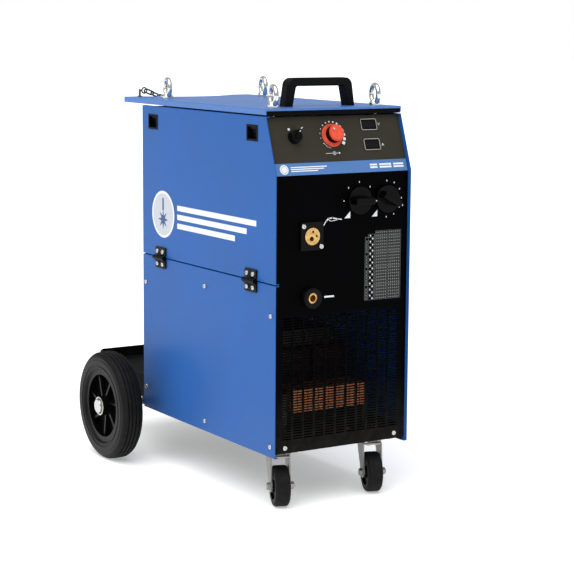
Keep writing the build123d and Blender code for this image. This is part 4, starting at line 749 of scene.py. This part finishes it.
class WELDER_OT_fascia_print(PieceOperator, bpy.types.Operator):
    """Print the speed dial, the mode marks, the units and the band's emblem on the fascia"""

    bl_idname = "welder.fascia_print"
    bl_label = "Fascia printing"

    def build(self, colours, sizes):
        ink = ink_finish("fascia_ink", tuple(colours.ink))
        speed = fascia_face("speed_knob_turn")
        shape = bmesh.new()
        marks = 14
        for index in range(marks):
            share = index / (marks - 1)
            size = 0.0013 + 0.0050 * share ** 1.6
            degrees = 214.0 - 247.0 * share ** 0.92
            x, y = polar(sizes.dial_radius + size * 0.35, degrees)
            add_bar(shape, x, y, size, size, math.radians(degrees))
        for index in range(8):
            start = polar(sizes.dial_radius - 0.0002, 216.0 + index * 5.0)
            end = polar(sizes.dial_radius - 0.0002, 221.0 + index * 5.0)
            add_line(shape, start, end, 0.0008 - index * 0.00006)
        self.feed_symbol(shape)
        print_piece("speed_dial_print", shape, speed, "cabinet", ink)
        mode = fascia_face("mode_knob_turn")
        shape = bmesh.new()
        add_disc(shape, -0.0084, 0.0158, 0.0026)
        add_bar(shape, 0.0197, 0.0168, 0.0026, 0.0026, 0.6)
        add_disc(shape, 0.0224, 0.0190, 0.0011)
        print_piece("mode_print", shape, mode, "cabinet", ink)
        self.units(ink)
        self.band_emblem(ink, speed)

    def feed_symbol(self, shape):
        """Wire-feed symbol under the dial: a line with a small roll and an arrow head."""
        add_line(shape, (-0.020, -0.0352), (-0.006, -0.0352), 0.0007)
        add_ring(shape, -0.001, -0.0352, 0.0036, 0.0028, 24)
        add_disc(shape, -0.001, -0.0352, 0.0011, 16)
        add_line(shape, (0.004, -0.0352), (0.009, -0.0352), 0.0007)
        add_outline(shape, [(0.009, -0.0372), (0.013, -0.0352), (0.009, -0.0332)])

    def units(self, ink):
        """Unit letters beside the two meters."""
        low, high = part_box("meter_frames")
        place = fascia_face("speed_knob_turn")
        flat = place.inverted()
        top = flat @ Vector((high.x, high.y, high.z))
        bottom = flat @ Vector((high.x, low.y, low.z))
        shape = letter_shape("V", 0.0078, top.x + 0.0060, top.y - 0.0118)
        join_shapes(shape, letter_shape("A", 0.0078, top.x + 0.0072, bottom.y + 0.0110))
        print_piece("unit_letters", shape, place, "cabinet", ink)

    def band_emblem(self, ink, place):
        """Ring and bars on the coloured band."""
        low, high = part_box("fascia_band")
        flat = place.inverted()
        left = flat @ Vector((low.x, low.y, low.z))
        right = flat @ Vector((high.x, high.y, high.z))
        centre_y = (left.y + right.y) / 2
        shape = bmesh.new()
        first = left.x + 0.0212
        add_ring(shape, first, centre_y, 0.0094, 0.0070, 48)
        add_disc(shape, first, centre_y, 0.0062, 40)
        for index, length in enumerate((0.081, 0.074, 0.060)):
            add_bar(shape, first + 0.0150 + length / 2, centre_y + (1 - index) * 0.0038, length, 0.0020)
        for start, length in ((0.0870, 0.0170), (0.0650, 0.0280), (0.0320, 0.0240)):
            for level in (-0.0026, 0.0026):
                add_bar(shape, right.x - start + length / 2, centre_y + level, length, 0.0034)
        print_piece("band_emblem", shape, place, "cabinet", ink, lift=0.0008)


class WELDER_OT_front_print(PieceOperator, bpy.types.Operator):
    """Print the switch marks, socket symbols and the setting table on the front panel"""

    bl_idname = "welder.front_print"
    bl_label = "Front printing"

    def build(self, colours, sizes):
        ink = ink_finish("front_ink", tuple(colours.ink))
        grey = ink_finish("table_ink", light(112, 113, 113))
        coarse = Vector(joints["coarse_switch_turn"]["pos_m"])
        fine = Vector(joints["fine_switch_turn"]["pos_m"])
        self.switch_marks("coarse_switch_print", coarse, (180, 135, 90, 45, 0), ink, sizes)
        self.switch_marks("fine_switch_print", fine, (90, 60, 30, 0, -30, -60, -90), ink, sizes)
        shape = bmesh.new()
        for x in (-0.0270, 0.0362):
            add_outline(shape, [(x - 0.0065, -0.0335), (x + 0.0065, -0.0335), (x + 0.0065, -0.0205)])
        print_piece("level_print", shape, front_face(coarse.x, coarse.z), "cabinet", ink)
        self.socket_symbols(ink)
        self.table(ink, grey, sizes)

    def switch_marks(self, name, centre, angles, ink, sizes):
        """Marks round one step switch, one per step."""
        shape = bmesh.new()
        for degrees in angles:
            x, y = polar(sizes.switch_radius, degrees)
            add_bar(shape, x, y, sizes.mark_width, sizes.mark_width * 1.7)
        print_piece(name, shape, front_face(centre.x, centre.z), "cabinet", ink)

    def socket_symbols(self, ink):
        """Torch outline beside the torch socket and a minus beside the return socket."""
        torch = middle("torch_socket_core")
        shape = bmesh.new()
        path = [(0.0290, 0.0195), (0.0345, 0.0275), (0.0400, 0.0318), (0.0480, 0.0322), (0.0600, 0.0300)]
        for index, (start, end) in enumerate(zip(path, path[1:])):
            add_line(shape, start, end, (0.0018, 0.0026, 0.0022, 0.0020)[index])
        add_line(shape, (0.0400, 0.0290), (0.0450, 0.0262), 0.0012)
        add_line(shape, (0.0450, 0.0262), (0.0600, 0.0282), 0.0010)
        add_line(shape, (0.0600, 0.0300), (0.0690, 0.0285), 0.0018)
        print_piece("torch_symbol", shape, front_face(torch.x, torch.z), "cabinet", ink)
        earth = middle("earth_socket_contact")
        shape = bmesh.new()
        add_bar(shape, 0.0425, -0.0007, 0.0220, 0.0034)
        print_piece("minus_symbol", shape, front_face(earth.x, earth.z), "cabinet", ink)

    def table(self, ink, grey, sizes):
        """Setting table: ruled cells with short grey entries and no lettering."""
        _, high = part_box("front_panel")
        fine = Vector(joints["fine_switch_turn"]["pos_m"])
        right = high.x - 0.0150
        top = fine.z - 0.0620
        place = front_face(right - sizes.table_width, top)
        rows = 23
        pitch = sizes.table_height / rows
        edges = [share * sizes.table_width for share in (0.0, 0.085, 0.285, 0.63, 1.0)]
        first_rows = (2, 1, 0, 0)
        group_rows = (2, 7, 12, 18)
        shape = bmesh.new()
        bright = bmesh.new()
        for column, first_row in enumerate(first_rows):
            left, wide = edges[column], edges[column + 1] - edges[column]
            for row in range(first_row, rows + 1):
                line = 0.0007 if row in group_rows else 0.00035
                add_bar(shape, left + wide / 2, -row * pitch, wide, line)
            reach = (rows - first_row) * pitch
            add_bar(shape, left, -first_row * pitch - reach / 2, 0.0005, reach)
            for row in range(first_row, rows):
                y = -(row + 0.5) * pitch
                if column == 0 and row in group_rows:
                    continue
                if column == 1:
                    offset = wide * (0.30 if row % 2 else 0.62)
                    add_bar(bright, left + offset, y, 0.0026, pitch * 0.50, 0.4)
                    add_bar(shape, left + wide * 0.86, y, 0.0016, pitch * 0.42)
                    continue
                entries = 1 if column == 0 else 6
                step = wide / (entries + 0.6)
                for entry in range(entries):
                    add_bar(shape, left + step * (entry + 0.8), y, step * 0.62, pitch * 0.46)
        add_bar(shape, edges[-1], -sizes.table_height / 2, 0.0004, sizes.table_height)
        print_piece("setting_table", shape, place, "cabinet", grey)
        print_piece("setting_table_steps", bright, place, "cabinet", ink)


class WELDER_OT_side_emblem(PieceOperator, bpy.types.Operator):
    """Print a plain disc and three stripes on the door"""

    bl_idname = "welder.side_emblem"
    bl_label = "Side emblem"

    def build(self, colours, sizes):
        ink = ink_finish("side_ink", light(232, 236, 242))
        pale = ink_finish("side_disc_ink", light(196, 199, 208))
        mark = ink_finish("side_mark_ink", light(44, 78, 132))
        low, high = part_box("side_door")
        radius = sizes.emblem_radius
        place = side_face(high.y - 0.093, low.z + 0.091)
        shape = bmesh.new()
        add_ring(shape, 0, 0, radius, radius * 0.90, 96)
        start = radius + 0.013
        for index, length in enumerate((0.317, 0.281, 0.236)):
            add_bar(shape, start + length / 2, 0.0185 - index * 0.0185, length, 0.0110)
        print_piece("side_emblem", shape, place, "door", ink)
        shape = bmesh.new()
        add_disc(shape, 0, 0, radius * 0.90, 96)
        print_piece("side_emblem_disc", shape, place, "door", pale)
        shape = bmesh.new()
        self.spark(shape, radius)
        print_piece("side_emblem_spark", shape, place, "door", mark, lift=INK)

    def spark(self, shape, radius):
        """Welding wire above an eight-pointed spark."""
        add_bar(shape, 0, radius * 0.44, radius * 0.13, radius * 0.52)
        points = []
        for index in range(16):
            reach = radius * (0.44 if index % 2 == 0 else 0.17)
            x, y = polar(reach, 90.0 + index * 22.5)
            points.append((x, y - radius * 0.22))
        add_outline(shape, points)


class WELDER_OT_knob_marks(PieceOperator, bpy.types.Operator):
    """Print the pointers on the knobs"""

    bl_idname = "welder.knob_marks"
    bl_label = "Knob pointers"

    def build(self, colours, sizes):
        ink = ink_finish("pointer_ink", tuple(colours.ink))
        for joint, node, body, degrees in (
            ("coarse_switch_turn", "coarse_switch_knob", "coarse_switch", 0.0),
            ("fine_switch_turn", "fine_switch_knob", "fine_switch", -30.0),
        ):
            low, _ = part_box(node)
            centre = joints[joint]["pos_m"]
            place = face_matrix(Vector((centre[0], low.y, centre[2])), X, Z)
            shape = bmesh.new()
            x, y = polar(0.0225, degrees)
            add_disc(shape, x, y, 0.0012, 20)
            print_piece(node + "_pointer", shape, place, body, ink, 0.0001)
        self.fascia_pointers(ink)

    def fascia_pointers(self, ink):
        """Pointer lines of the two fascia knobs."""
        for joint, node, body, degrees, reach, length in (
            ("speed_knob_turn", "wire_speed_knob", "speed_knob", 128.0, 0.0100, 0.0050),
            ("mode_knob_turn", "mode_knob", "mode_selector", 53.0, 0.0096, 0.0034),
        ):
            place = fascia_face(joint)
            shape = bmesh.new()
            x, y = polar(reach, degrees)
            add_bar(shape, x, y, length, 0.0013, math.radians(degrees))
            top = foremost(node, place)[-1]
            print_piece(node + "_pointer", shape, place, body, ink, 0.0001, top)


class WELDER_OT_meter_digits(PieceOperator, bpy.types.Operator):
    """Lay three unlit seven-segment digits in each meter window"""

    bl_idname = "welder.meter_digits"
    bl_label = "Meter digits"

    def build(self, colours, sizes):
        unlit = Finish("unlit_segment", light(14, 9, 9), 0.3)
        unlit.shade(unlit.noise(400.0), 0.8, 1.2)
        place = fascia_face("speed_knob_turn")
        left, right, bottom, top, level = foremost("meter_windows", place)
        shape = bmesh.new()
        for row_y in (bottom + 0.0090, top - 0.0090):
            for column in range(3):
                self.digit(shape, (left + right) / 2 + (column - 1) * 0.0095, row_y)
        print_piece("meter_digits", shape, place, "cabinet", unlit, 0.00008, level)

    def digit(self, shape, x, y):
        """Seven segments about a middle."""
        wide, tall, stroke = 0.0048, 0.0092, 0.0009
        for level in (-1, 0, 1):
            add_bar(shape, x, y + level * tall / 2, wide, stroke)
        for across in (-1, 1):
            for level in (-1, 1):
                side_x = x + across * (wide / 2 + stroke)
                add_bar(shape, side_x, y + level * tall / 4, stroke, tall / 2 - stroke)


class WELDER_OT_rims_and_lid_shade(PieceOperator, bpy.types.Operator):
    """Lay the rim line on each meter frame, and a dark strip on the lid's front flange that paints the
    shade of the gap under the lid's front edge
    """

    bl_idname = "welder.trims"
    bl_label = "Meter rims and lid strip"

    def build(self, colours, sizes):
        rim = grained_plastic("meter_rim_line", light(150, 150, 147), 0.40, 0.00003)
        place = fascia_face("speed_knob_turn")
        left, right, bottom, top, level = foremost("meter_frames", place)
        half = sizes.meter_height / 2
        shape = bmesh.new()
        for row_y in (bottom + half, top - half):
            add_frame(shape, (left + right) / 2, row_y, right - left, half * 2, 0.0030, 0.0012)
        print_piece("meter_rims", shape, place, "cabinet", rim, 0.0003, level)
        # Painted shade: this black strip on the lid's front flange stands in for the shadowed gap under
        # the lid's front edge.
        low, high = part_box("lid")
        strip = bmesh.new()
        add_bar(strip, 0, 0, high.x - low.x - 0.0040, 0.0088)
        dark = grained_plastic("lid_painted_shade", colours.plastic, 0.5, 0.00004, 0.05)
        place = face_matrix(Vector((0, low.y, low.z + 0.0046)), X, Z)
        print_piece("lid_front_painted_shade", strip, place, "cabinet", dark, 0.0004)


class WELDER_OT_stage(bpy.types.Operator):
    """Place the floor, the soft lights and the camera"""

    bl_idname = "welder.stage"
    bl_label = "Stage"
    bl_options = {"REGISTER", "UNDO"}

    def execute(self, context):
        self.floor(context.scene)
        self.sky(context.scene)
        self.lamps(context.scene)
        self.camera(context.scene)
        context.scene.view_settings.view_transform = "Standard"
        return {"FINISHED"}

    def floor(self, scene):
        """Wide pale floor that lights its own shadows a little."""
        shape = bmesh.new()
        bmesh.ops.create_grid(shape, x_segments=1, y_segments=1, size=30.0)
        mesh = bpy.data.meshes.new("floor")
        shape.to_mesh(mesh)
        shape.free()
        finish = Finish("floor_paper", (0.93, 0.93, 0.93), 0.9, specular=0.1)
        finish.shader.inputs["Emission Color"].default_value = (1, 1, 1, 1)
        finish.shader.inputs["Emission Strength"].default_value = 0.32
        finish.shade(finish.noise(2.0), 0.995, 1.0)
        mesh.materials.append(finish.material)
        ground = bpy.data.objects.new("floor", mesh)
        scene.collection.objects.link(ground)

    def sky(self, scene):
        """White backdrop that gives a weaker, even light."""
        scene.world = bpy.data.worlds.new("studio")
        scene.world.use_nodes = True
        tree = scene.world.node_tree
        seen = tree.nodes["Background"]
        seen.inputs["Color"].default_value = (1.0, 1.0, 1.0, 1.0)
        seen.inputs["Strength"].default_value = 1.0
        given = tree.nodes.new("ShaderNodeBackground")
        given.inputs["Color"].default_value = (0.96, 0.98, 1.0, 1.0)
        given.inputs["Strength"].default_value = 0.50
        rays = tree.nodes.new("ShaderNodeLightPath")
        choice = tree.nodes.new("ShaderNodeMixShader")
        tree.links.new(rays.outputs["Is Camera Ray"], choice.inputs[0])
        tree.links.new(given.outputs[0], choice.inputs[1])
        tree.links.new(seen.outputs[0], choice.inputs[2])
        tree.links.new(choice.outputs[0], tree.nodes["World Output"].inputs["Surface"])

    def lamps(self, scene):
        """Broad soft light from high in front, on the door side."""
        data = bpy.data.lights.new("broad_light", "SUN")
        data.energy = 2.7
        data.angle = math.radians(70)
        lamp = bpy.data.objects.new("broad_light", data)
        scene.collection.objects.link(lamp)
        lamp.rotation_euler = Vector((0.42, 0.30, -1.0)).to_track_quat("-Z", "Y").to_euler()

    def camera(self, scene):
        """Camera low in front of the door side's corner."""
        yaw, pitch, roll = (math.radians(v) for v in (31.86, -8.66, 0.37))
        ahead = Vector((math.sin(yaw) * math.cos(pitch), math.cos(yaw) * math.cos(pitch), math.sin(pitch)))
        right = ahead.cross(Z).normalized()
        up = right.cross(ahead)
        tilted = right * math.cos(roll) + up * math.sin(roll)
        above = up * math.cos(roll) - right * math.sin(roll)
        data = bpy.data.cameras.new("camera")
        data.lens = 109.67
        data.sensor_width = 36.0
        camera = bpy.data.objects.new("camera", data)
        scene.collection.objects.link(camera)
        matrix = Matrix((tilted, above, -ahead)).transposed().to_4x4()
        matrix.translation = (-1.851, -3.166, 0.933)
        camera.matrix_world = matrix
        scene.camera = camera


class WELDER_PT_panel(bpy.types.Panel):
    """Lists the welder's colours, sizes and build steps"""

    bl_idname = "WELDER_PT_panel"
    bl_label = "Welder"
    bl_space_type = "VIEW_3D"
    bl_region_type = "UI"
    bl_category = "Welder"

    def draw(self, context):
        layout = self.layout
        for group in (context.scene.welder_colours, context.scene.welder_sizes):
            box = layout.box()
            for key in group.__annotations__:
                box.prop(group, key)
        for operator in operators:
            layout.operator(operator.bl_idname)


groups = (WelderColours, WelderSizes)
operators = (
    WELDER_OT_sheet_metal, WELDER_OT_hardware, WELDER_OT_plastics, WELDER_OT_sockets, WELDER_OT_wheels,
    WELDER_OT_inside, WELDER_OT_tyres, WELDER_OT_hub_rings, WELDER_OT_fascia_print, WELDER_OT_front_print,
    WELDER_OT_side_emblem, WELDER_OT_knob_marks, WELDER_OT_meter_digits, WELDER_OT_rims_and_lid_shade,
    WELDER_OT_stage,
)


def register():
    for item in groups + operators + (WELDER_PT_panel,):
        bpy.utils.register_class(item)
    bpy.types.Scene.welder_colours = bpy.props.PointerProperty(type=WelderColours)
    bpy.types.Scene.welder_sizes = bpy.props.PointerProperty(type=WelderSizes)


def unregister():
    del bpy.types.Scene.welder_sizes
    del bpy.types.Scene.welder_colours
    for item in reversed(groups + operators + (WELDER_PT_panel,)):
        bpy.utils.unregister_class(item)


def main():
    """Register and build every piece in order."""
    register()
    for operator in operators:
        category, name = operator.bl_idname.split(".")
        getattr(getattr(bpy.ops, category), name)()


if __name__ == "__main__":
    main()
